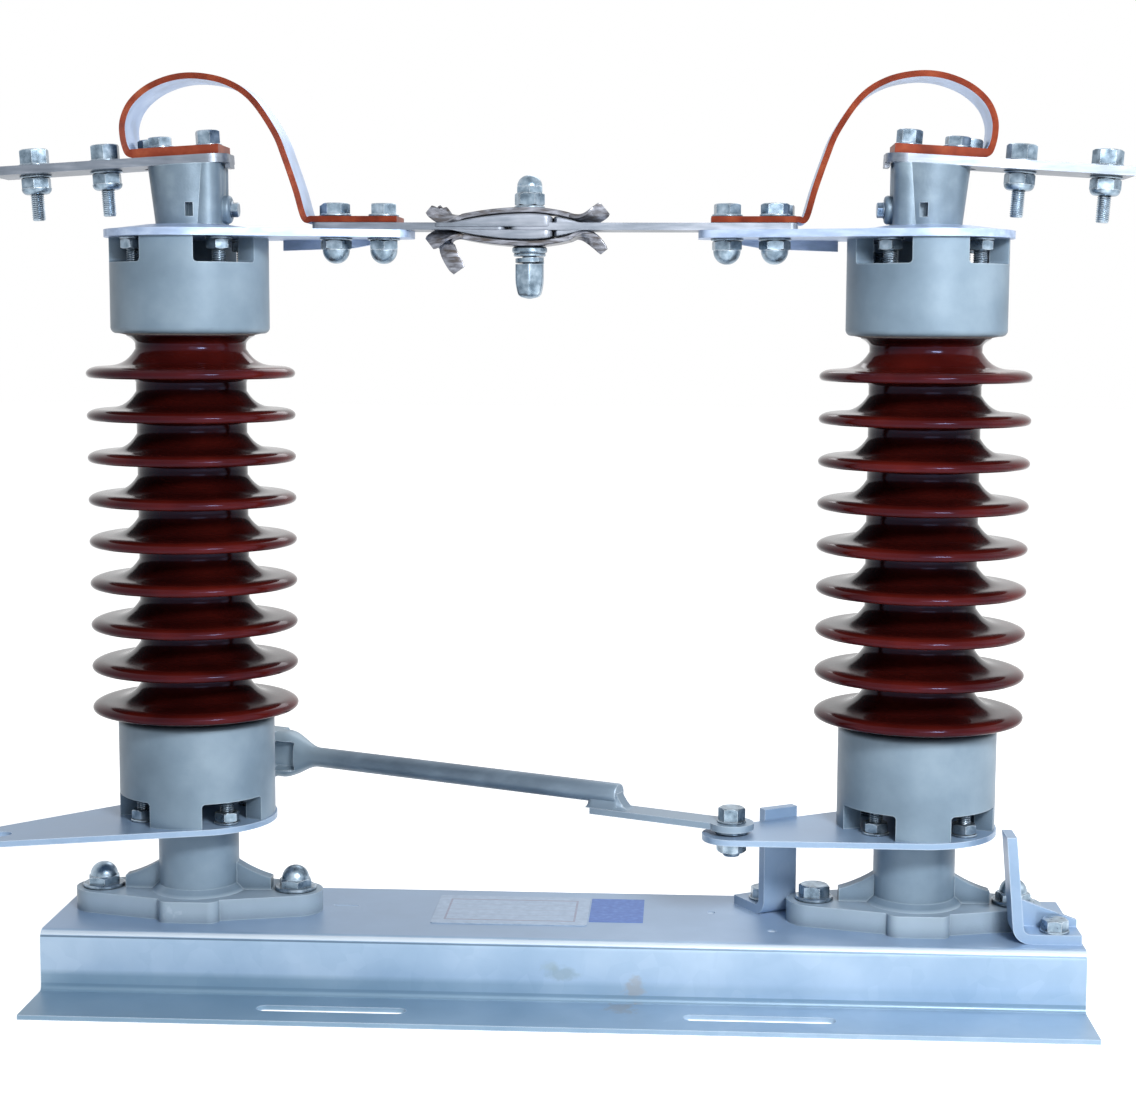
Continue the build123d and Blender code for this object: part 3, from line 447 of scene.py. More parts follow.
def palePlate():
    # Rolled aluminium plate left bare outdoors: whitish, dull, faintly streaked along the rolling.
    material, tree, shader, place = startMaterial("weathered aluminium")
    stretch = addNode(tree, "Mapping", {"Scale": (1.0, 6.0, 6.0)}, {"Vector": place})
    streaks = addNode(tree, "TexNoise", {"Scale": 1 / (30 * mm), "Detail": 4.0}, {"Vector": stretch})
    tints = [(0.3, "#9AB0D0"), (0.5, "#AABFE0"), (0.75, "#C2D5F0")]
    colour = addNode(tree, "ValToRGB", {"stops": tints}, {"Fac": streaks}).outputs["Color"]
    tree.links.new(colour, shader.inputs["Base Color"])
    shader.inputs["Metallic"].default_value = 0.45
    shader.inputs["Roughness"].default_value = 0.42
    return material


def tinnedFace():
    # Tinned copper: pale silver with a warm blush where the tin is thin.
    material, tree, shader, place = startMaterial("tinned copper")
    blush = addNode(tree, "TexNoise", {"Scale": 1 / (25 * mm), "Detail": 4.0}, {"Vector": place})
    tints = [(0.28, "#9DADC6"), (0.5, "#A8BEE0"), (0.8, "#C3D5F0")]
    colour = addNode(tree, "ValToRGB", {"stops": tints}, {"Fac": blush}).outputs["Color"]
    tree.links.new(colour, shader.inputs["Base Color"])
    shader.inputs["Metallic"].default_value = 0.55
    shader.inputs["Roughness"].default_value = 0.36
    return material


def cutCopper():
    # Sheared copper edge: orange brown, darker where it has been handled, lightly scored along.
    material, tree, shader, place = startMaterial("sheared copper edge")
    stain = addNode(tree, "TexNoise", {"Scale": 1 / (18 * mm), "Detail": 5.0}, {"Vector": place})
    tints = [(0.30, "#6A2613"), (0.52, "#88381F"), (0.78, "#A65838")]
    colour = addNode(tree, "ValToRGB", {"stops": tints}, {"Fac": stain}).outputs["Color"]
    tree.links.new(colour, shader.inputs["Base Color"])
    shader.inputs["Metallic"].default_value = 0.3
    shader.inputs["Roughness"].default_value = 0.48
    return material


def dullNickel():
    # Silver-nickel contact plate, rubbed and tarnished: dark warm grey with bright rub marks.
    material, tree, shader, place = startMaterial("tarnished contact plate")
    rubs = addNode(tree, "Mapping", {"Scale": (1.0, 5.0, 5.0)}, {"Vector": place})
    marks = addNode(tree, "TexNoise", {"Scale": 1 / (12 * mm), "Detail": 5.0}, {"Vector": rubs})
    tints = [(0.32, "#504B49"), (0.47, "#6C6E76"), (0.68, "#989CA7")]
    colour = addNode(tree, "ValToRGB", {"stops": tints}, {"Fac": marks}).outputs["Color"]
    tree.links.new(colour, shader.inputs["Base Color"])
    shader.inputs["Metallic"].default_value = 0.8
    shader.inputs["Roughness"].default_value = 0.34
    return material


def forgedZinc():
    # The link's forged rod: zinc gone slate grey, darkest at mid length, soft flow lines along it.
    material, tree, shader, place = startMaterial("weathered zinc on forged steel")
    turn = (0, 0, math.radians(rodSlope))
    stretch = addNode(tree, "Mapping", {"Rotation": turn, "Scale": (0.3, 1.0, 1.0)}, {"Vector": place})
    forged = {"Scale": 1 / (20 * mm), "Detail": 4.0, "Roughness": 0.55}
    flow = addNode(tree, "TexNoise", forged, {"Vector": stretch})
    tints = [(0.30, "#596A7B"), (0.52, "#6A7C8D"), (0.72, "#7C8FA1")]
    colour = addNode(tree, "ValToRGB", {"stops": tints}, {"Fac": flow}).outputs["Color"]
    axes = addNode(tree, "SeparateXYZ", {}, {"Vector": place})
    # Each end of the rod is paler: where along X the change starts and ends, and to which tint.
    for start, stop, tint in ((-20, 90, "#8DA2B6"), (-190, -235, "#93A8B8")):
        reach = {"From Min": start * mm, "From Max": stop * mm}
        pale = addNode(tree, "MapRange", reach, {"Value": axes.outputs[0]})
        colour = overlay(tree, colour, [(pale, tint, 0.8)])
    # Paler worn edges that also carry a painted highlight.
    colour = overlay(tree, colour, [(edgeWearAndHighlight(tree, 1.2), "#D5E3EE", 0.55)])
    tree.links.new(colour, shader.inputs["Base Color"])
    shader.inputs["Metallic"].default_value = 0.3
    shader.inputs["Roughness"].default_value = 0.42
    bump = addNode(tree, "Bump", {"Strength": 0.15, "Distance": 0.5 * mm}, {"Height": flow})
    tree.links.new(bump.outputs[0], shader.inputs["Normal"])
    return material


def dulledBar():
    # Tinned copper contact bar, dulled by handling: lead grey with long fine scratches.
    material, tree, shader, place = startMaterial("dulled tinned bar")
    stretch = addNode(tree, "Mapping", {"Scale": (0.12, 1.0, 1.0)}, {"Vector": place})
    scratches = addNode(tree, "TexNoise", {"Scale": 1 / (3 * mm), "Detail": 4.0}, {"Vector": stretch})
    clouds = addNode(tree, "TexNoise", {"Scale": 1 / (40 * mm), "Detail": 3.0}, {"Vector": place})
    shade = addNode(tree, "Mix", {0: 0.6}, {2: scratches, 3: clouds})
    tints = [(0.35, "#69727E"), (0.50, "#7E8794"), (0.66, "#9EA5B2")]
    colour = addNode(tree, "ValToRGB", {"stops": tints}, {"Fac": shade}).outputs["Color"]
    tree.links.new(colour, shader.inputs["Base Color"])
    shader.inputs["Metallic"].default_value = 0.5
    shader.inputs["Roughness"].default_value = 0.36
    bump = addNode(tree, "Bump", {"Strength": 0.12, "Distance": 0.2 * mm}, {"Height": scratches})
    tree.links.new(bump.outputs[0], shader.inputs["Normal"])
    return material


def castAluminium():
    # Sand cast aluminium terminal posts: 2 mm grain, dull blue grey, darker in patches, paler on worn
    # edges that also carry a painted highlight.
    material, tree, shader, place = startMaterial("sand cast aluminium")
    clouds = addNode(tree, "TexNoise", {"Scale": 1 / (30 * mm), "Detail": 4.0}, {"Vector": place})
    tints = [(0.30, "#5E7180"), (0.52, "#718494"), (0.75, "#8B9EAC")]
    colour = addNode(tree, "ValToRGB", {"stops": tints}, {"Fac": clouds}).outputs["Color"]
    colour = overlay(tree, colour, [(edgeWearAndHighlight(tree, 1.2), "#C6D6E2", 0.5)])
    tree.links.new(colour, shader.inputs["Base Color"])
    shader.inputs["Metallic"].default_value = 0.3
    shader.inputs["Roughness"].default_value = 0.45
    sand = addNode(tree, "TexNoise", {"Scale": 1 / (2 * mm), "Detail": 3.0}, {"Vector": place})
    bump = addNode(tree, "Bump", {"Strength": 0.25, "Distance": 0.5 * mm}, {"Height": sand})
    tree.links.new(bump.outputs[0], shader.inputs["Normal"])
    return material


def cementGrout():
    # Portland cement between porcelain and cap: pale grey, gritty.
    material, tree, shader, place = startMaterial("cement grout")
    grit = addNode(tree, "TexNoise", {"Scale": 1 / (1.5 * mm), "Detail": 4.0}, {"Vector": place})
    tints = [(0.3, "#8D8B88"), (0.7, "#C2C1BD")]
    colour = addNode(tree, "ValToRGB", {"stops": tints}, {"Fac": grit}).outputs["Color"]
    tree.links.new(colour, shader.inputs["Base Color"])
    shader.inputs["Roughness"].default_value = 0.85
    bump = addNode(tree, "Bump", {"Strength": 0.5, "Distance": 0.5 * mm}, {"Height": grit})
    tree.links.new(bump.outputs[0], shader.inputs["Normal"])
    return material


def labelFoil():
    # Thin aluminium label with nothing printed but a faint frame and a few ruled lines.
    material, tree, shader, place = startMaterial("bare label foil")
    away = (-plateMiddle[0] * mm, -plateMiddle[1] * mm, 0.0)
    shift = addNode(tree, "Mapping", {"Location": away}, {"Vector": place})
    axes = addNode(tree, "SeparateXYZ", {}, {"Vector": shift})
    # The printed frame's half sizes and half line widths, the rules' pitch and half width
    halves, widths, pitch, thinness = (54.0, 30.0), (0.9, 1.0), 15.0, 0.6
    onLine, inside = [], []
    for axis in (0, 1):
        reach = addNode(tree, "Math", {"operation": "ABSOLUTE"}, {0: axes.outputs[axis]})
        line = {"operation": "COMPARE", 1: halves[axis] * mm, 2: widths[axis] * mm}
        onLine.append(addNode(tree, "Math", line, {0: reach}))
        within = {"operation": "LESS_THAN", 1: (halves[axis] + 0.5) * mm}
        inside.append(addNode(tree, "Math", within, {0: reach}))
    upright = addNode(tree, "Math", {"operation": "MULTIPLY"}, {0: onLine[0], 1: inside[1]})
    level = addNode(tree, "Math", {"operation": "MULTIPLY"}, {0: onLine[1], 1: inside[0]})
    border = addNode(tree, "Math", {"operation": "MAXIMUM"}, {0: upright, 1: level})
    wave = addNode(tree, "Math", {"operation": "PINGPONG", 1: pitch / 2 * mm}, {0: axes.outputs[1]})
    thin = addNode(tree, "Math", {"operation": "LESS_THAN", 1: thinness * mm}, {0: wave})
    rules = addNode(tree, "Math", {"operation": "MULTIPLY"}, {0: thin, 1: inside[0]})
    rulesIn = addNode(tree, "Math", {"operation": "MULTIPLY"}, {0: rules, 1: inside[1]})
    lines = addNode(tree, "Math", {"operation": "MULTIPLY_ADD", 1: 0.45}, {0: rulesIn, 2: border})
    worn = addNode(tree, "TexNoise", {"Scale": 1 / (6 * mm), "Detail": 4.0}, {"Vector": place})
    ink = addNode(tree, "Math", {"operation": "MULTIPLY", "use_clamp": True}, {0: lines, 1: worn})
    tints = [(0.3, "#94A9C3"), (0.7, "#A5BAD2")]
    colour = addNode(tree, "ValToRGB", {"stops": tints}, {"Fac": worn}).outputs["Color"]
    colour = overlay(tree, colour, [(ink, "#7E6E88", 1.0)])
    tree.links.new(colour, shader.inputs["Base Color"])
    shader.inputs["Metallic"].default_value = 0.4
    shader.inputs["Roughness"].default_value = 0.4
    return material


def blueFilm():
    # Plain blue vinyl film, a little rubbed.
    material, tree, shader, place = startMaterial("plain blue film")
    rubbed = addNode(tree, "TexNoise", {"Scale": 1 / (5 * mm), "Detail": 5.0}, {"Vector": place})
    tints = [(0.30, "#3E6CBE"), (0.55, "#4A79C9"), (0.80, "#6A94D8")]
    colour = addNode(tree, "ValToRGB", {"stops": tints}, {"Fac": rubbed}).outputs["Color"]
    tree.links.new(colour, shader.inputs["Base Color"])
    shader.inputs["Roughness"].default_value = 0.45
    bump = addNode(tree, "Bump", {"Strength": 0.1, "Distance": 0.2 * mm}, {"Height": rubbed})
    tree.links.new(bump.outputs[0], shader.inputs["Normal"])
    return material


sheetZinc = hotDipSheet()
castZinc = galvanisedCasting()
boltZinc = zincPlate()
spindleSteel = turnedSteel()
porcelainGlaze = oxbloodGlaze()
armAluminium = palePlate()
tinFace = tinnedFace()
copperEdge = cutCopper()
contactPlate = dullNickel()
linkSteel = forgedZinc()
barCopper = dulledBar()
postAluminium = castAluminium()
grout = cementGrout()
plateFoil = labelFoil()
stickerFilm = blueFilm()
print("materials made")

finishes = {
    "galvanised_sheet": sheetZinc,
    "galvanised_casting": castZinc,
    "plated_bolts": boltZinc,
    "steel": spindleSteel,
    "porcelain": porcelainGlaze,
    "aluminium": armAluminium,
    "tinned_copper": tinFace,
    "copper": tinFace,
    "contact_alloy": contactPlate,
}
ownFinish = {
    "left_contact_blade": barCopper,
    "right_contact_bar": barCopper,
    "left_terminal_post": postAluminium,
    "right_terminal_post": postAluminium,
    "left_terminal_plate": barCopper,
    "right_terminal_plate": barCopper,
    "link_rod": linkSteel,
    "link_tongue": linkSteel,
}
slotOf = {entry["node"]: entry["material_slot"] for entry in frame["record"]["subparts"]}
for nodeName, nodeObject in frame["nodes"].items():
    nodeObject.data.materials.clear()
    nodeObject.data.materials.append(ownFinish.get(nodeName, finishes[slotOf[nodeName]]))

# Porcelain columns

# Radii and levels; each shed's own levels are from its tip, and "bore" is the hollow core's radius.
porcelain = {
    "core": 45.0,
    "rim": 84.9,
    "pitch": 34.5,
    "topShed": 507.0,
    "sheds": 9,
    "lip": 3.6,
    "nose": (11.0, 5.6),
    "noseLevel": -1.0,
    "shoulder": (10.4, 4.6),
    "slope": 1.6,
    "rise": 12.6,
    "steepness": 3.8,
    "neck": 51.9,
    "lowSeat": 169.5,
    "lowCap": 221.0,
    "highCap": 538.5,
    "highSeat": 583.5,
    "bore": 25.0,
}


def shedProfile(p):
    # Each shed runs out along a nearly flat underside, round a nose that is a small quarter circle
    # below and a long quarter ellipse above, and back up a slope that is a power of the distance
    # from the nose, so it meets the core almost upright.
    t = np.linspace(0, 1, 12)
    lower = np.linspace(-0.5 * np.pi, 0, 6)
    upper = np.linspace(0, 0.48 * np.pi, 9)[1:]
    lip, (reach, height), level = p["lip"], p["nose"], p["noseLevel"]
    fillet = 3.0
    heel = [(p["core"], -8.5), (p["core"] + 0.9, -6.2)]
    start, run = p["core"] + fillet, p["rim"] - lip - p["core"] - fillet
    under = np.stack([start + run * t, level - lip + 1.2 * np.sin(np.pi * t)], axis=-1)
    rim = np.stack([p["rim"] - lip + lip * np.cos(lower), level + lip * np.sin(lower)], axis=-1)
    crown = np.stack([p["rim"] - reach + reach * np.cos(upper), level + height * np.sin(upper)], axis=-1)
    back, base = p["shoulder"]
    fall = p["rim"] - back - p["core"]
    lift = base + p["slope"] * t + p["rise"] * t ** p["steepness"]
    top = np.stack([p["rim"] - back - fall * t, lift], axis=-1)
    return np.vstack([heel, under, rim, crown, top[1:]])


def porcelainProfile(p):
    # Up the outside: the cemented foot, the sheds, and a flare that widens as a square to the neck.
    shed = shedProfile(p)
    tips = p["topShed"] - p["pitch"] * np.arange(p["sheds"])[::-1]
    sheds = (shed[None] + np.stack([0 * tips, tips], axis=-1)[:, None]).reshape(-1, 2)
    low = [(p["bore"], p["lowSeat"]), (p["neck"], p["lowSeat"]), (p["neck"], p["lowCap"] + 1.0),
           (p["core"] + 1, p["lowCap"] + 3.0)]
    t = np.linspace(0, 1, 6)
    flare = np.stack([p["core"] + (p["neck"] - p["core"]) * t ** 2, p["highCap"] - 9 + 7 * t], axis=-1)
    high = [(p["neck"], p["highCap"] + 1), (p["neck"], p["highSeat"]), (p["bore"], p["highSeat"])]
    return np.vstack([low, sheds, flare, high])


# The grout is a bead with a hollow face between the cap's rim and the porcelain.
groutBead = {"inner": 50.5, "outer": 58.0, "rise": 1.6, "hollow": 0.5, "depth": 0.8}


def groutRing(g, level, direction):
    # The face falls outwards as a square and sags by a half sine; its back is flat in the cap.
    t = np.linspace(0, 1, 7)
    height = g["rise"] * (1 - t ** 2) - g["hollow"] * np.sin(np.pi * t)
    face = np.stack([g["inner"] + (g["outer"] - g["inner"]) * t, direction * height], axis=-1)
    back = [(g["outer"], -direction * g["depth"]), (g["inner"], -direction * g["depth"])]
    return revolve(np.vstack([face, back]) + np.array([0, level]), 96, wrapRows=True)


for side, word in sides:
    body = onColumn([revolve(porcelainProfile(porcelain), 144, wrapRows=True)], side)
    piece = makePiece(f"{word}PorcelainColumn", body, porcelainGlaze, f"{word}_column", 60)
    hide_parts(f"{word}_insulator")
    beads = [groutRing(groutBead, porcelain["lowCap"], 1), groutRing(groutBead, porcelain["highCap"], -1)]
    makePiece(f"{word}GroutBeads", onColumn(beads, side), grout, f"{word}_column", 60)
print("porcelain made")

# Copper straps

strap = {
    "thick": 4.9,
    "width": 44.0,
    "foils": 9,
    "groove": 0.2,
    "footLevel": 630.55,
    "footEnd": 174.0,
    "armTop": 622.0,
    "axisTop": 681.0,
    "droop": 3.5,
    "palmThick": 7.4,
    "palmOut": 44.0,
    "palmIn": -30.4,
    "palmGap": 0.05,
    "swellRun": (24, 16),
    "blend": ((-96, 640), (-30, 650)),
}
# The loop's centre line, outwards from the axis and up from the arm plate.
loopPlaces = [
    (-105, 8.55), (-99, 9.6), (-92.5, 31.5), (-84.2, 56), (-75.5, 77.5), (-57.5, 103.5), (-38, 116.5),
    (-15, 121.7), (6, 120.5), (26, 113), (40.5, 101), (47.3, 87), (47.6, 73.5),
]


def curveThrough(points, samples):
    # A Catmull-Rom curve: between two points it is the cubic whose end slopes are half the
    # difference of the neighbours.
    p = np.asarray(points, float)
    p = np.vstack([2 * p[0] - p[1], p, 2 * p[-1] - p[-2]])
    t = np.linspace(0, 1, samples, endpoint=False)[None, :, None]
    a, b, c, d = (p[k:len(p) - 3 + k, None, :] for k in range(4))
    square, cube = 2 * a - 5 * b + 4 * c - d, 3 * b - a - 3 * c + d
    cubic = 0.5 * (2 * b + (c - a) * t + square * t ** 2 + cube * t ** 3)
    return np.vstack([cubic.reshape(-1, p.shape[1]), p[-2]])


def ribbon(path, section, across=0.0, twist=0.0, thicken=1.0, widen=1.0):
    # The section (across, out) is carried along a path in the XZ plane: across runs along Y and
    # out along the path's left-hand normal, both turned by the twist at each point.
    path, section = np.asarray(path, float), np.asarray(section, float)
    slope = np.gradient(path, axis=0)
    slope /= np.linalg.norm(slope, axis=1, keepdims=True)
    normal = np.stack([-slope[:, 1], slope[:, 0]], axis=-1)
    turn = np.broadcast_to(np.radians(twist), len(path))[:, None]
    thick = np.broadcast_to(thicken, len(path))[:, None]
    wide = section[None, :, 0] * np.broadcast_to(widen, len(path))[:, None]
    out = section[None, :, 1] * thick
    y = across + wide * np.cos(turn) - out * np.sin(turn)
    lift = wide * np.sin(turn) + out * np.cos(turn)
    x = path[:, :1] + normal[:, :1] * lift
    z = path[:, 1:] + normal[:, 1:] * lift
    return closedGrid(np.stack([x, y + 0 * x, z], axis=-1))


def foilSection(s):
    # Down each long edge the outline steps in by a small groove between one foil and the next.
    steps = 2 * s["foils"] + 1
    out = np.linspace(s["thick"] / 2, -s["thick"] / 2, steps)
    edge = s["width"] / 2 - s["groove"] * (np.arange(steps) % 2 == 0)
    right = np.stack([edge, out], axis=-1)
    left = np.stack([-edge[::-1], out[::-1]], axis=-1)
    return np.vstack([right, left]), list(range(steps - 1)) + list(range(steps, 2 * steps - 1))


def onPalm(s, along, lift):
    # A place on the drooping terminal, along it from the axis and up from its top face.
    cosine, sine = math.cos(math.radians(s["droop"])), math.sin(math.radians(s["droop"]))
    return np.array([along * cosine + lift * sine, s["axisTop"] - along * sine + lift * cosine])


def strapGrid(s):
    # The palm is thicker than the loop, so the section swells over the last bend by a cubic that
    # starts and ends level.
    loop = [np.array([x, s["armTop"] + rise]) for x, rise in loopPlaces]
    middle = s["palmGap"] + s["palmThick"] / 2
    bend = [onPalm(s, s["palmOut"] - back, middle + lift) for back, lift in ((0, 2.2), (5, 0), (10, 0))]
    curve = curveThrough(loop + bend, 8)
    foot = [(x, s["footLevel"]) for x in (-s["footEnd"], -150, -120, -108)]
    path = np.vstack([foot, curve, [onPalm(s, 10, middle), onPalm(s, s["palmIn"], middle)]])
    fromEnd, run = s["swellRun"]
    t = np.clip((np.arange(len(path)) - (len(path) - fromEnd)) / run, 0, 1)
    swell = 1 + (s["palmThick"] / s["thick"] - 1) * t ** 2 * (3 - 2 * t)
    section, edges = foilSection(s)
    return ribbon(path, section, thicken=swell), edges


for side, word in sides:
    grid, edgeColumns = strapGrid(strap)
    grids = onColumn([mirrored(grid, side)], side)
    name = f"{word}FoilStrap"
    piece = makePiece(name, grids, tinFace, None, 40, copperEdge, edgeColumns)
    start, end = (tuple(np.array([side * (columnX + x), 0, z]) * mm) for x, z in strap["blend"])
    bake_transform(piece)
    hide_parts(f"{word}_copper_strap")
print("straps made")

# Fasteners: heads, nuts, washers and threads


def hexHead(flats, head, washerThick=1.8, washerReach=0.62, dome=0.0, turn=0.0):
    # Up from the joint's face at height 0.
    grids = [
        washer(flats * 0.2, flats * washerReach, 0, washerThick),
        hexPrism(flats, washerThick, washerThick + head, chamferBottom=False, turn=turn),
    ]
    if dome:
        grids.append(domedEnd(flats * 0.46, washerThick + head, dome))
    return grids


def nutBelow(flats, nut, shank, end, washerThick=1.8, collar=0.0, cap=0.0, turn=0.0):
    # Down from the joint's underside at height 0: washer, nut, its rounded collar or cap, thread.
    grids = [washer(flats * 0.2, flats * 0.6, -washerThick, 0)]
    low = -washerThick - nut
    if collar:
        t = np.linspace(0, np.pi / 2, 8)
        bulge = np.stack([flats * 0.36 + flats * 0.2 * np.cos(t), low - collar * np.sin(t)], axis=-1)
        seat = [(shank, low + 0.4), (flats * 0.56, low + 0.4)]
        grids.append(revolve(np.vstack([seat, bulge, [(shank, low - collar)]]), 60, wrapRows=True))
    grids.append(hexPrism(flats, low, -washerThick, chamferBottom=not collar, turn=turn))
    if cap:
        grids.append(flipped(domedEnd(flats * 0.5, -low, cap)))
    else:
        grids.append(thread(shank, shank * 0.3, end, low + 1))
    return grids


def boltUp(name, grids, body, node=None):
    # A set of plated fasteners that rides a body and may stand for a CAD node.
    piece = makePiece(name, grids, boltZinc, body)
    if node:
        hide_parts(node)


# Each place is along the arm, across it, and the hexagon's turn.
armFasteners = {
    "flats": 20,
    "head": 8.6,
    "top": 633.3,
    "under": 616.0,
    "nutFlats": 22,
    "nut": 8,
    "shank": 6,
    "cap": 11,
    "through": ((-161, -4, 9), (-123, -10, 31)),
    "short": (-117, 14, 50),
}
terminalFasteners = {
    "flats": 21.5,
    "head": 12,
    "washer": 2.2,
    "nut": 9,
    "collar": 4.5,
    "shank": 5.6,
    "end": -36.5,
    "plate": 7,
    "places": {"left": (68, 127), "right": (72, 140)},
}
# Each place is along the palm, across it, the hexagon's turn and the head's height.
strapFasteners = {
    "flats": 18,
    "lift": 7.55,
    "places": ((-17.5, 0, 22, 11), (20, -8, 10, 7), (32, 8, 40, 7)),
}
pinchBolt = {"flats": 11, "head": 5, "washer": 1.2, "reach": 35.4, "level": 638.8, "turn": 12}


def armGrids(a, side):
    # A head at each place on the arm, and a capped nut below where the bolt goes through.
    grids = []
    for x, y, turn in (*a["through"], a["short"]):
        grids += placed(hexHead(a["flats"], a["head"], turn=turn), (side * x, y, a["top"]))
        if (x, y, turn) in a["through"]:
            nut = nutBelow(a["nutFlats"], a["nut"], a["shank"], 0, cap=a["cap"], turn=turn)
            grids += placed(nut, (side * x, y, a["under"]))
    return grids


def terminalGrids(t, side, word):
    # A head on the plate and a collared nut under it, each turned by as many degrees as it is far.
    grids = []
    for x in t["places"][word]:
        nut = nutBelow(t["flats"], t["nut"], t["shank"], t["end"], collar=t["collar"], turn=x)
        grids += placed(hexHead(t["flats"], t["head"], t["washer"], turn=x), (side * x, 0, 0))
        grids += placed(nut, (side * x, 0, -t["plate"]))
    return grids


def strapBoltGrids(f, side):
    # Heads on the strap's palm
    grids = []
    for x, y, turn, head in f["places"]:
        grids += placed(hexHead(f["flats"], head, turn=turn), (side * x, y, f["lift"]))
    return grids


def onTerminal(grids, side):
    # From level ground to the drooping terminal's top face
    return [tilted(grid, side * strap["droop"], (0, 0, strap["axisTop"])) for grid in grids]


for side, word in sides:
    column, terminal = f"{word}_column", f"{word}_terminal"
    grids = armGrids(armFasteners, side)
    boltUp(f"{word}ArmFasteners", onColumn(grids, side), column, f"{word}_arm_bolts")
    grids = onTerminal(terminalGrids(terminalFasteners, side, word), side)
    boltUp(f"{word}TerminalFasteners", onColumn(grids, side), terminal, f"{word}_terminal_bolts")
    grids = onTerminal(strapBoltGrids(strapFasteners, side), side)
    boltUp(f"{word}StrapFasteners", onColumn(grids, side), terminal, f"{word}_strap_bolts")
    p = pinchBolt
    head = hexHead(p["flats"], p["head"], p["washer"], turn=p["turn"])
    grids = [tilted(grid, -90 * side, (-side * p["reach"], 0, p["level"])) for grid in head]
    boltUp(f"{word}PinchFastener", onColumn(grids, side), terminal)
print("upper fasteners made")

# The inner bolt of the right housing has a plain head, the others a domed cap.
housingFasteners = {
    "flats": 25,
    "plainFlats": 22.5,
    "level": 72.0,
    "plate": 50.0,
    "reach": 82.0,
    "washer": 3.0,
    "head": 6.5,
    "plainHead": 9.5,
    "dome": 11.0,
    "nutFlats": 22,
    "nut": 10,
    "shank": 6,
    "end": -18.0,
    "turn": 17,
}
for side, word in sides:
    h = housingFasteners
    grids = []
    for x in (-h["reach"], h["reach"]):
        plain = word == "right" and x < 0
        flats, height = (h["plainFlats"], h["plainHead"]) if plain else (h["flats"], h["head"])
        head = hexHead(flats, height, h["washer"], 0.7, 0 if plain else h["dome"], turn=h["turn"])
        nut = nutBelow(h["nutFlats"], h["nut"], h["shank"], h["end"], turn=h["turn"])
        grids += placed(head, (x, 0, h["level"])) + placed(nut, (x, 0, h["plate"]))
    boltUp(f"{word}HousingFasteners", onColumn(grids, side), "base", f"{word}_housing_bolts")


def boxMiddle(node):
    # Halfway between the corners of a CAD node's box, in millimetres
    low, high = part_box(node)
    return (np.array(low) + np.array(high)) / 2 / mm


stopFastener = {
    "flats": 19,
    "head": 8.5,
    "nut": 8.5,
    "shank": 6,
    "top": 62.0,
    "plate": 50.0,
    "end": -14.0,
    "turns": {"open": 20, "closed": 8},
}
for state, turn in stopFastener["turns"].items():
    f = stopFastener
    x, y = boxMiddle(f"{state}_stop_bolt")[:2]
    grids = placed(hexHead(f["flats"], f["head"], turn=turn), (x, y, f["top"]))
    grids += placed(nutBelow(f["flats"], f["nut"], f["shank"], f["end"], turn=turn), (x, y, f["plate"]))
    boltUp(f"{state}StopFastener", grids, "base", f"{state}_stop_bolt")

# The spacer between rod and lever is a radius, a bottom and a top.
pivotFastener = {
    "flats": 19,
    "nutFlats": 21,
    "head": 10.5,
    "nut": 8,
    "shank": 7.8,
    "top": 146.5,
    "under": 131.7,
    "end": -13,
    "turn": 25,
    "spacer": (14.0, 137.6, 141.0),
}
f = pivotFastener
x, y = boxMiddle("link_pivot_bolt")[:2]
grids = placed(hexHead(f["flats"], f["head"], turn=f["turn"]), (0, 0, f["top"]))
grids += placed(nutBelow(f["nutFlats"], f["nut"], f["shank"], f["end"], turn=f["turn"]), (0, 0, f["under"]))
grids += [washer(f["shank"], *f["spacer"]), roundBar(f["shank"], f["under"], f["top"])]
boltUp("pivotFastener", placed(grids, (x, y, 0)), "link", "link_pivot_bolt")

# The fork's pin shows where the rod meets the ear on the left column's cap.
forkPin = {
    "pin": (-306.5, 167.7, 158.0),
    "half": 21.0,
    "radius": 7.6,
    "flats": 24,
    "head": 9,
    "nut": 9,
    "washer": 2.5,
    "end": -16,
    "turn": 5,
}
f = forkPin
grids = placed(hexHead(f["flats"], f["head"], f["washer"], turn=f["turn"]), (0, 0, f["half"]))
nut = nutBelow(f["flats"], f["nut"], f["radius"], f["end"], f["washer"], turn=f["turn"])
grids += placed(nut, (0, 0, -f["half"]))
grids.append(roundBar(f["radius"], -f["half"], f["half"]))
boltUp("forkPin", placed(grids, f["pin"]), "link")

# Four bolts hold each cap, one in every window, from its bolted face to its web.
capFasteners = {
    "circle": 50.0,
    "shank": 5.8,
    "pitch": 1.75,
    "flats": 18,
    "washer": (0.1, 2.0),
    "nut": 8,
    "height": 20.3,
    "turns": {"left_low": 311, "right_low": 315, "left_high": 311, "right_high": 318},
    "faces": {"low": 137.0, "high": 616.0},
}


def capBolt(c, turn):
    # A stud with its washer and nut, up from the cap's bolted face.
    low, high = c["washer"]
    return [
        thread(c["shank"], c["pitch"], 0, c["height"], 24),
        washer(c["shank"], c["flats"] * 0.6, low, high),
        hexPrism(c["flats"], high, high + c["nut"], turn=turn),
    ]


for side, word in sides:
    c = capFasteners
    grids = []
    for level, face in c["faces"].items():
        for quarter in range(4):
            angle = math.radians(c["turns"][f"{word}_{level}"] + 90 * quarter)
            stack = capBolt(c, 40 * quarter)
            if level == "high":
                stack = [flipped(grid) for grid in stack]
            grids += placed(stack, (c["circle"] * math.cos(angle), c["circle"] * math.sin(angle), face))
    boltUp(f"{word}CapFasteners", onColumn(grids, side), f"{word}_column")
print("lower fasteners made")

# Contact fingers

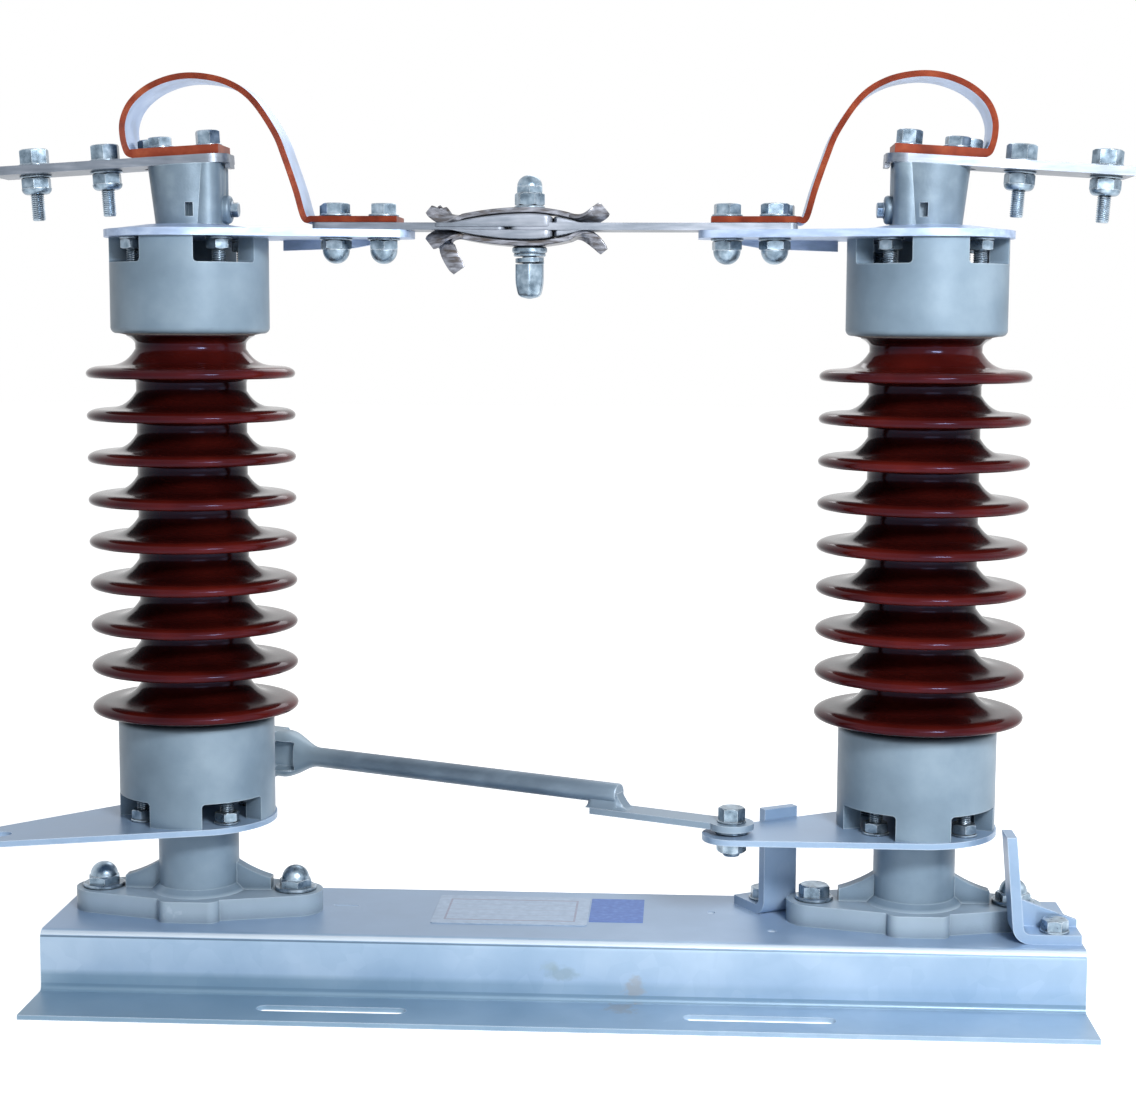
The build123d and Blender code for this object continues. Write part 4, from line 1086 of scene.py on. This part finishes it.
finger = {
    "thick": 4.2,
    "width": 40.0,
    "clamp": -20.5,
    "touches": (-84.5, 24.5),
    "bow": 8.0,
    "slotFoot": 12.0,
    "upperFace": 628.1,
    "lowerFace": 621.7,
    "leave": (9, 0.4),
    "arrive": (4, -1.6),
}
# Each tine: which end, its middle across the strip, width, tip along X, tip's rise, bend, twist,
# and how much its tip is wider than its root.
upperTines = (
    (-1, -13.6, 12.6, -101.0, 8.6, 0, 74, -0.25),
    (-1, 0.0, 12.0, -92.0, 10.0, 0, 60, -0.1),
    (-1, 13.6, 12.6, -97.0, 11.5, 0, -30, 0.0),
    (1, -13.6, 11.6, 41.0, 9.4, 0, -72, 0.55),
    (1, 0.0, 12.0, 35.0, 7.5, 0, -30, 0.0),
    (1, 13.6, 12.6, 38.0, 10.0, 0, 24, 0.0),
)
lowerTines = (
    (-1, -13.6, 11.6, -100.5, 8.6, 0, -70, 0.45),
    (-1, 0.0, 13.0, -78.0, 29.5, 10, -84, 0.2),
    (-1, 13.6, 12.6, -97.0, 10.5, 0, 26, 0.0),
    (1, -13.6, 13.2, 40.5, 14.6, 0, 72, -0.4),
    (1, 0.0, 12.0, 36.0, 9.5, 0, 26, 0.0),
    (1, 13.6, 12.6, 38.0, 10.5, 0, -24, 0.0),
)


def stripSection(width, thick, cut=0.5):
    # A rectangle with its corners cut back a little.
    w, t = width / 2, thick / 2
    half = [(w - cut, t), (w, t - cut), (w, cut - t), (w - cut, -t)]
    return half + [(-x, -y) for x, y in half]


def bowHeight(f, x):
    # A parabola, highest at the clamp and level with the blade where the strip touches it.
    reach = np.where(x < f["clamp"], f["clamp"] - f["touches"][0], f["touches"][1] - f["clamp"])
    return f["bow"] * (1 - ((x - f["clamp"]) / reach) ** 2)


def tinePath(f, end, tip, rise, bend):
    # A cubic Bezier curve: it leaves the strip along its bow, passes the touching line and
    # climbs to the tip. The two middle knots are a run and a height from foot and touching line.
    touch = f["touches"][0 if end < 0 else 1]
    foot = touch - end * f["slotFoot"]
    leave, arrive = f["leave"], f["arrive"]
    knots = np.array([
        (foot, bowHeight(f, foot)),
        (foot + end * leave[0], leave[1]),
        (touch + end * (arrive[0] + bend), arrive[1] + 0.25 * bend),
        (tip, rise),
    ])
    t = np.linspace(0, 1, 26)[:, None]
    weights = np.hstack([(1 - t) ** 3, 3 * t * (1 - t) ** 2, 3 * t ** 2 * (1 - t), t ** 3])
    return weights @ knots


def fingerGrids(f, tines, face, up):
    # The bowed strip and its tines. Each tine is a leaf: it swells past its root by a half sine,
    # fans out or narrows in proportion, is blunted by a root near its tip, and twists and thins.
    foot = np.array([f["touches"][0] + f["slotFoot"], f["touches"][1] - f["slotFoot"]])
    x = np.linspace(foot[0], foot[1], 40)
    level = face + up * (f["thick"] / 2 + bowHeight(f, x))
    grids = [ribbon(np.stack([x, level], axis=-1), stripSection(f["width"], f["thick"]))]
    for end, across, width, tip, rise, bend, twist, fan in tines:
        path = tinePath(f, end, tip, rise, bend)
        path = np.stack([path[:, 0], face + up * (f["thick"] / 2 + path[:, 1])], axis=-1)
        out = np.linspace(0, 1, len(path))
        if end < 0:
            path, out = path[::-1], out[::-1]
        blunt = np.sqrt(1 - 0.35 * np.clip((out - 0.93) / 0.07, 0, 1) ** 2)
        wide = (0.9 + 0.12 * np.sin(np.pi * out) + fan * (out - 0.35)) * blunt
        turn = up * twist * np.clip(out * 1.25, 0, 1) ** 1.4
        grids.append(ribbon(path, stripSection(width, f["thick"]), across, turn, 1 - 0.55 * out, wide))
    return grids


for word, tines, up in (("upper", upperTines, 1), ("lower", lowerTines, -1)):
    grids = fingerGrids(finger, tines, finger[f"{word}Face"], up)
    piece = makePiece(f"{word}Finger", grids, contactPlate, "right_column", 40)
    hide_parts(f"{word}_contact_finger")

# The contact heads are pairs of leaves that swell between the fingers, a dark slit between them.
# The left one is forked, so that it slides in and out past the clamp bolt.
contactHead = {
    "halves": {"left": (-97.0, -1.2), "right": (-0.4, 36.0)},
    "prongs": {"left": ((-15.6, 17.6), (15.6, 17.6)), "right": ((0.0, 45.0),)},
    "slit": (624.2, 622.6),
    "gap": 0.9,
    "sink": 0.5,
    "power": 0.3,
}


def leafGrid(h, f, start, stop, prong, up):
    # From the slit out to just inside the finger's bow, whose parabola the leaf follows, blunted at
    # both ends by a root. Its section is a superellipse, nearly a rectangle.
    x = np.linspace(start, stop, 44)
    reach = bowHeight(f, x)
    slit = h["slit"][0 if up > 0 else 1]
    face = (f["upperFace"] if up > 0 else f["lowerFace"]) - up * h["sink"]
    outer = face + up * np.clip(reach - h["gap"] + h["sink"], 0, None)
    blunt = np.sqrt(np.clip(np.minimum(x - start, stop - x) / 3.0, 0.02, 1))
    middle, half = (outer + slit) / 2, np.abs(outer - slit) / 2 * (0.7 + 0.3 * blunt)
    centre, width = prong
    side = width / 2 * (0.4 + 0.6 * blunt)
    t = np.linspace(0, 2 * np.pi, 48, endpoint=False)
    across, upward = squared(t, h["power"])
    y = centre + side[:, None] * across
    z = middle[:, None] + half[:, None] * upward
    return closedGrid(np.stack([x[:, None] + 0 * t, y, z], axis=-1))


for word, (start, stop) in contactHead["halves"].items():
    prongs = contactHead["prongs"][word]
    leaves = [leafGrid(contactHead, finger, start, stop, prong, up) for prong in prongs for up in (1, -1)]
    makePiece(f"{word}ContactHead", leaves, barCopper, f"{word}_column", 50)

# The clamp: a flanged nut under a cap above, a thick washer, a split washer and a long cap nut below.
# Each entry is radii or a width across flats, then levels.
clamp = {
    "shank": (6, 594.5, 640.2),
    "flange": (6, 12.4, 640.2, 642.0),
    "nut": (21.4, 642.0, 652.5),
    "dome": (10.2, 657.5, 9.0, 1.5),
    "cap": (20.2, 652.0, 658.1),
    "washers": ((6, 14.2, 604.0, 609.4), (6, 13.0, 601.5, 604.0)),
    "split": (6.4, 11.6, 595.1, 3.4, 2.6),
    "longNut": (22.4, 595.3, 567.5),
}


def splitWasher(inner, outer, low, thick, climb):
    # One turn of a flat bar whose height climbs with the angle, so its ends stand apart.
    angle = np.linspace(0.03, 2 * np.pi - 0.03, 60)[:, None]
    radius, rise = np.array([(inner, 0), (outer, 0), (outer, thick), (inner, thick)]).T[:, None]
    height = low + rise + climb * angle / (2 * np.pi)
    return closedGrid(np.stack([radius * np.cos(angle), radius * np.sin(angle), height], axis=-1))


def longCapNut(flats, top, end):
    # Hexagonal for a third of its length, then its flats lean in and its end is rounded.
    t = np.linspace(0, 1, 24)[:, None]
    angle = np.linspace(0, 2 * np.pi, 72, endpoint=False)
    flat = (angle + np.pi / 6) % (np.pi / 3) - np.pi / 6
    lean = 1 - 0.30 * np.clip((t - 0.35) / 0.65, 0, 1) ** 2.2
    nose = np.sqrt(np.clip(1 - np.clip((t - 0.86) / 0.14, 0, 1) ** 2.4, 0.02, 1))
    corner = np.minimum(1 / np.cos(flat), 1.12)
    radius = flats / 2 * lean * nose * corner
    height = top + (end - top) * t
    points = np.stack([radius * np.cos(angle), radius * np.sin(angle), height + 0 * angle], axis=-1)
    return closedGrid(points)


c = clamp
grids = [
    roundBar(*c["shank"]),
    washer(*c["flange"]),
    hexPrism(*c["nut"], turn=24),
    domedEnd(*c["dome"]),
    hexPrism(*c["cap"], chamferBottom=False, turn=3),
    *(washer(*ring) for ring in c["washers"]),
    splitWasher(*c["split"]),
    longCapNut(*c["longNut"]),
]
grids = placed(grids, (finger["clamp"], 0, 0))
piece = makePiece("clampFastener", grids, boltZinc, "right_column", 30)
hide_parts("contact_clamp_bolt", "contact_spring")
print("contact made")

# Bare plate and sticker on the base

ratingPlate = {"low": (-100, -33), "high": (30, 50), "bottom": 54.0, "thick": 0.7, "corner": 3.0}
blueSticker = {"low": (31, -20), "high": (76, 49), "bottom": 54.0, "thick": 0.25, "corner": 1.0}


def roundedSlab(s):
    # Four quarter circles joined by straight sides, with a small bevel round the top face.
    low, high = np.array(s["low"]), np.array(s["high"])
    quarters = np.repeat(np.arange(4), 8)
    angle = quarters * np.pi / 2 + np.tile(np.linspace(0, np.pi / 2, 8), 4)
    sign = np.array([(1, 1), (-1, 1), (-1, -1), (1, -1)])[quarters]
    centres = (low + high) / 2 + sign * ((high - low) / 2 - s["corner"])
    spokes = np.stack([np.cos(angle), np.sin(angle)], axis=-1)
    rings = []
    for inset, level in ((0, 0), (0, 0.7), (0.3, 1)):  # as shares of the thickness
        flat = centres + (s["corner"] - inset * s["thick"]) * spokes
        rings.append(np.column_stack([flat, np.full(len(angle), s["bottom"] + level * s["thick"])]))
    return closedGrid(np.stack(rings))


makePiece("barePlate", [roundedSlab(ratingPlate)], plateFoil, "base")
makePiece("blueSticker", [roundedSlab(blueSticker)], stickerFilm, "base")

# The rod: a forged fork whose bulb draws in to a round bar, welded to the tongue at its end.
# The bulb draws in between two places along the rod; the pocket is its start, stop, depth and
# half height.
rod = {
    "pin": (-306.5, 167.7, 158.0),
    "slope": rodSlope,
    "end": 398.4,
    "radius": 8.8,
    "forkHalf": 21.0,
    "forkWide": 15.0,
    "gap": 11.0,
    "slotEnd": 50.0,
    "bulb": (60.0, 96.0),
    "pocket": (44.0, 75.0, 9.5, 12.0),
}
# The bead's lead and tail run either way from the rod's end; its ripple is a height and a pitch.
rodWeld = {
    "lead": -27.0,
    "tail": 13.0,
    "tongueTop": 146.3,
    "tongueHalf": 11.6,
    "height": 13.0,
    "ripple": (0.25, 2.6),
    "sink": 0.3,
    "under": 0.6,
}


def alongRod(r, points):
    # Turned from the rod's own frame, along, across and up, to the object's.
    cosine, sine = math.cos(math.radians(r["slope"])), math.sin(math.radians(r["slope"]))
    turn = np.array([[cosine, sine, 0], [-sine, cosine, 0], [0, 0, 1]])
    return closedGrid(points @ turn.T + np.array(r["pin"]))


def cheek(r, up):
    # One jaw of the fork: its half width is a circle's round the pin, then straight.
    nose = -r["forkWide"] * np.cos(np.linspace(0.08, np.pi / 2, 10))
    along = np.concatenate([nose, np.linspace(6, r["slotEnd"] + 3, 8)])
    half = np.where(along < 0, np.sqrt(np.clip(r["forkWide"] ** 2 - along ** 2, 0, None)), r["forkWide"])
    low, high = r["gap"], r["forkHalf"]
    y = np.array([-1, -1, -0.86, 0.86, 1, 1])[None] * half[:, None]
    z = up * np.array([low, high - 2.5, high, high, high - 2.5, low])[None] + 0 * y
    return alongRod(r, np.stack([along[:, None] + 0 * y, y, z], axis=-1))


def forkAndBar(r):
    # The section is a superellipse that eases from the fork's block to the bar's circle, and a
    # pocket is pressed into its near side behind the slot.
    fork, bar = np.linspace(r["slotEnd"], 100, 60), np.linspace(104, r["end"] - 1.2, 50)
    along = np.concatenate([fork, bar, [r["end"] - 0.4, r["end"]]])[:, None]
    ease = np.clip((along - r["bulb"][0]) / (r["bulb"][1] - r["bulb"][0]), 0, 1)
    ease = ease ** 2 * (3 - 2 * ease)
    half = r["forkHalf"] + (r["radius"] - r["forkHalf"]) * ease
    wide = r["forkWide"] + (r["radius"] - r["forkWide"]) * ease
    chamfer = np.where(along > r["end"] - 0.3, 0.6, np.where(along > r["end"] - 0.8, 0.25, 0))
    t = np.linspace(0, 2 * np.pi, 120, endpoint=False)[None]
    across, upward = squared(t, 2 / (3.2 - 1.2 * ease))
    y, z = (wide - chamfer) * across, (half - chamfer) * upward
    start, stop, depth, reach = r["pocket"]
    inPocket = np.clip((stop - along) / 3, 0, 1) * np.clip((reach - np.abs(z)) / 2.5 + 0.5, 0, 1) * (y < 0)
    y = y + depth * inPocket
    return alongRod(r, np.stack([along + 0 * y, y, z], axis=-1))


def rodFillet(r, w):
    # The bead leans in to the bar along both sides, and past its end it falls to the tongue as a
    # power of the distance.
    along = np.concatenate([np.linspace(w["lead"], 0, 14), np.linspace(0.8, w["tail"], 16)])[:, None]
    fall = np.clip(1 - np.clip(along, 0, None) / w["tail"], 0, 1) ** 2.0
    rise = np.clip((along - w["lead"]) / 4, 0, 1) ** 0.5
    ripple, pitch = w["ripple"]
    height = w["height"] * rise * fall + ripple + ripple * np.sin(2 * np.pi * along / pitch) * fall
    t = np.linspace(-1, 1, 33)[None]
    lean = 1 - (1 - np.clip((1 - np.abs(t)) / 0.5, 0, 1)) ** 0.45
    y = t * w["tongueHalf"]
    z = w["tongueTop"] - w["sink"] + height * lean
    x = along + r["end"]
    bead = np.stack([x + 0 * y, y + 0 * x, z - r["pin"][2]], axis=-1)
    under = np.stack([x, 0 * x, 0 * x + w["tongueTop"] - w["under"] - r["pin"][2]], axis=-1)
    return alongRod(r, np.concatenate([bead, under], axis=1))


grids = [cheek(rod, 1), cheek(rod, -1), forkAndBar(rod)]
piece = makePiece("forkedRod", grids, linkSteel, "link", 40)
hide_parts("link_rod")
makePiece("rodWeld", [rodFillet(rod, rodWeld)], linkSteel, "link", 60)
print("plate, sticker and weld made")

# Floor, light and camera

# The floor's level is in millimetres and its half width in metres.
backdrop = {"white": "#FFFFFF", "floorLevel": -0.4, "floorHalf": 12.0, "lift": 0.93, "ambient": 0.16}


def unlit(tree):
    # One for the rays that see the backdrop and light nothing: camera, glossy and transmission.
    rays = addNode(tree, "LightPath").outputs
    camera, glossy, through = (rays[f"Is {kind} Ray"] for kind in ("Camera", "Glossy", "Transmission"))
    seen = addNode(tree, "Math", {"operation": "MAXIMUM"}, {0: camera, 1: glossy})
    return addNode(tree, "Math", {"operation": "MAXIMUM"}, {0: seen, 1: through})


floorMaterial, tree, shader, place = startMaterial("plain floor")
shader.inputs["Base Color"].default_value = linearColor("#F4F4F2")
shader.inputs["Roughness"].default_value = 0.9
shader.inputs["Specular IOR Level"].default_value = 0.0
shader.inputs["Emission Color"].default_value = linearColor(backdrop["white"])
lift = addNode(tree, "Math", {"operation": "MULTIPLY", 1: backdrop["lift"]}, {0: unlit(tree)})
tree.links.new(lift.outputs[0], shader.inputs["Emission Strength"])
floorMesh = bpy.data.meshes.new("floor")
half, level = backdrop["floorHalf"], backdrop["floorLevel"] * mm
corners = [(x * half, y * half, level) for x, y in ((-1, -1), (1, -1), (1, 1), (-1, 1))]
floorMesh.from_pydata(corners, [], [(0, 1, 2, 3)])
floorMesh.materials.append(floorMaterial)
addObject("floor", floorMesh)

world = bpy.data.worlds.new("studio")
bpy.context.scene.world = world
world.use_nodes = True
tree = world.node_tree
tree.nodes.clear()
ambient = addNode(tree, "Background", {"Color": linearColor("#EEF3FA"), "Strength": backdrop["ambient"]})
white = addNode(tree, "Background", {"Color": linearColor(backdrop["white"]), "Strength": 1.0})
mixed = addNode(tree, "MixShader", {}, {0: unlit(tree), 1: ambient, 2: white})
addNode(tree, "OutputWorld", {}, {"Surface": mixed})

lamps = {
    "key": {"place": (0.72, -1.4, 1.12), "size": (0.45, 0.26), "power": 25},
    "soft": {"place": (0.7, -2.2, 1.3), "size": (1.3, 1.3), "power": 17},
    "fill": {"place": (1.9, -0.2, 1.0), "size": (1.2, 1.2), "power": 5},
    "rim": {"place": (0.3, 1.8, 1.8), "size": (1.2, 1.2), "power": 9},
}
aim = np.array([0.0, 0.0, 0.36])
for lampName, lamp in lamps.items():
    light = bpy.data.lights.new(lampName, "AREA")
    light.shape = "RECTANGLE"
    light.size, light.size_y = lamp["size"]
    light.energy = lamp["power"]
    lampObject = addObject(lampName, light)
    lampObject.location = lamp["place"]
    away = np.array(lamp["place"]) - aim
    tilt = math.acos(away[2] / np.linalg.norm(away))
    lampObject.rotation_euler = (tilt, 0, math.atan2(away[1], away[0]) + math.pi / 2)

camera = {
    "place": (107.6, -1686.6, 547.9),
    "yaw": 3.259,
    "pitch": 6.436,
    "roll": 0.2176,
    "lens": 65.385,
    "sensor": 36.0,
}
cameraData = bpy.data.cameras.new("camera")
cameraData.sensor_width = camera["sensor"]
cameraData.lens = camera["lens"]
cameraObject = addObject("camera", cameraData)
yaw, pitch, roll = (math.radians(camera[key]) for key in ("yaw", "pitch", "roll"))
forward = np.array([-math.sin(yaw) * math.cos(pitch), math.cos(yaw) * math.cos(pitch), -math.sin(pitch)])
right = np.array([math.cos(yaw), math.sin(yaw), 0.0])
up = np.cross(right, forward)
rolledRight = math.cos(roll) * right + math.sin(roll) * up
rolledUp = math.cos(roll) * up - math.sin(roll) * right
matrix = np.eye(4)
matrix[:3, 0], matrix[:3, 1], matrix[:3, 2] = rolledRight, rolledUp, -forward
matrix[:3, 3] = np.array(camera["place"]) * mm
cameraObject.matrix_world = mathutils.Matrix(matrix.tolist())
bpy.context.scene.camera = cameraObject
bpy.context.scene.view_settings.view_transform = "Standard"
print("stage made")
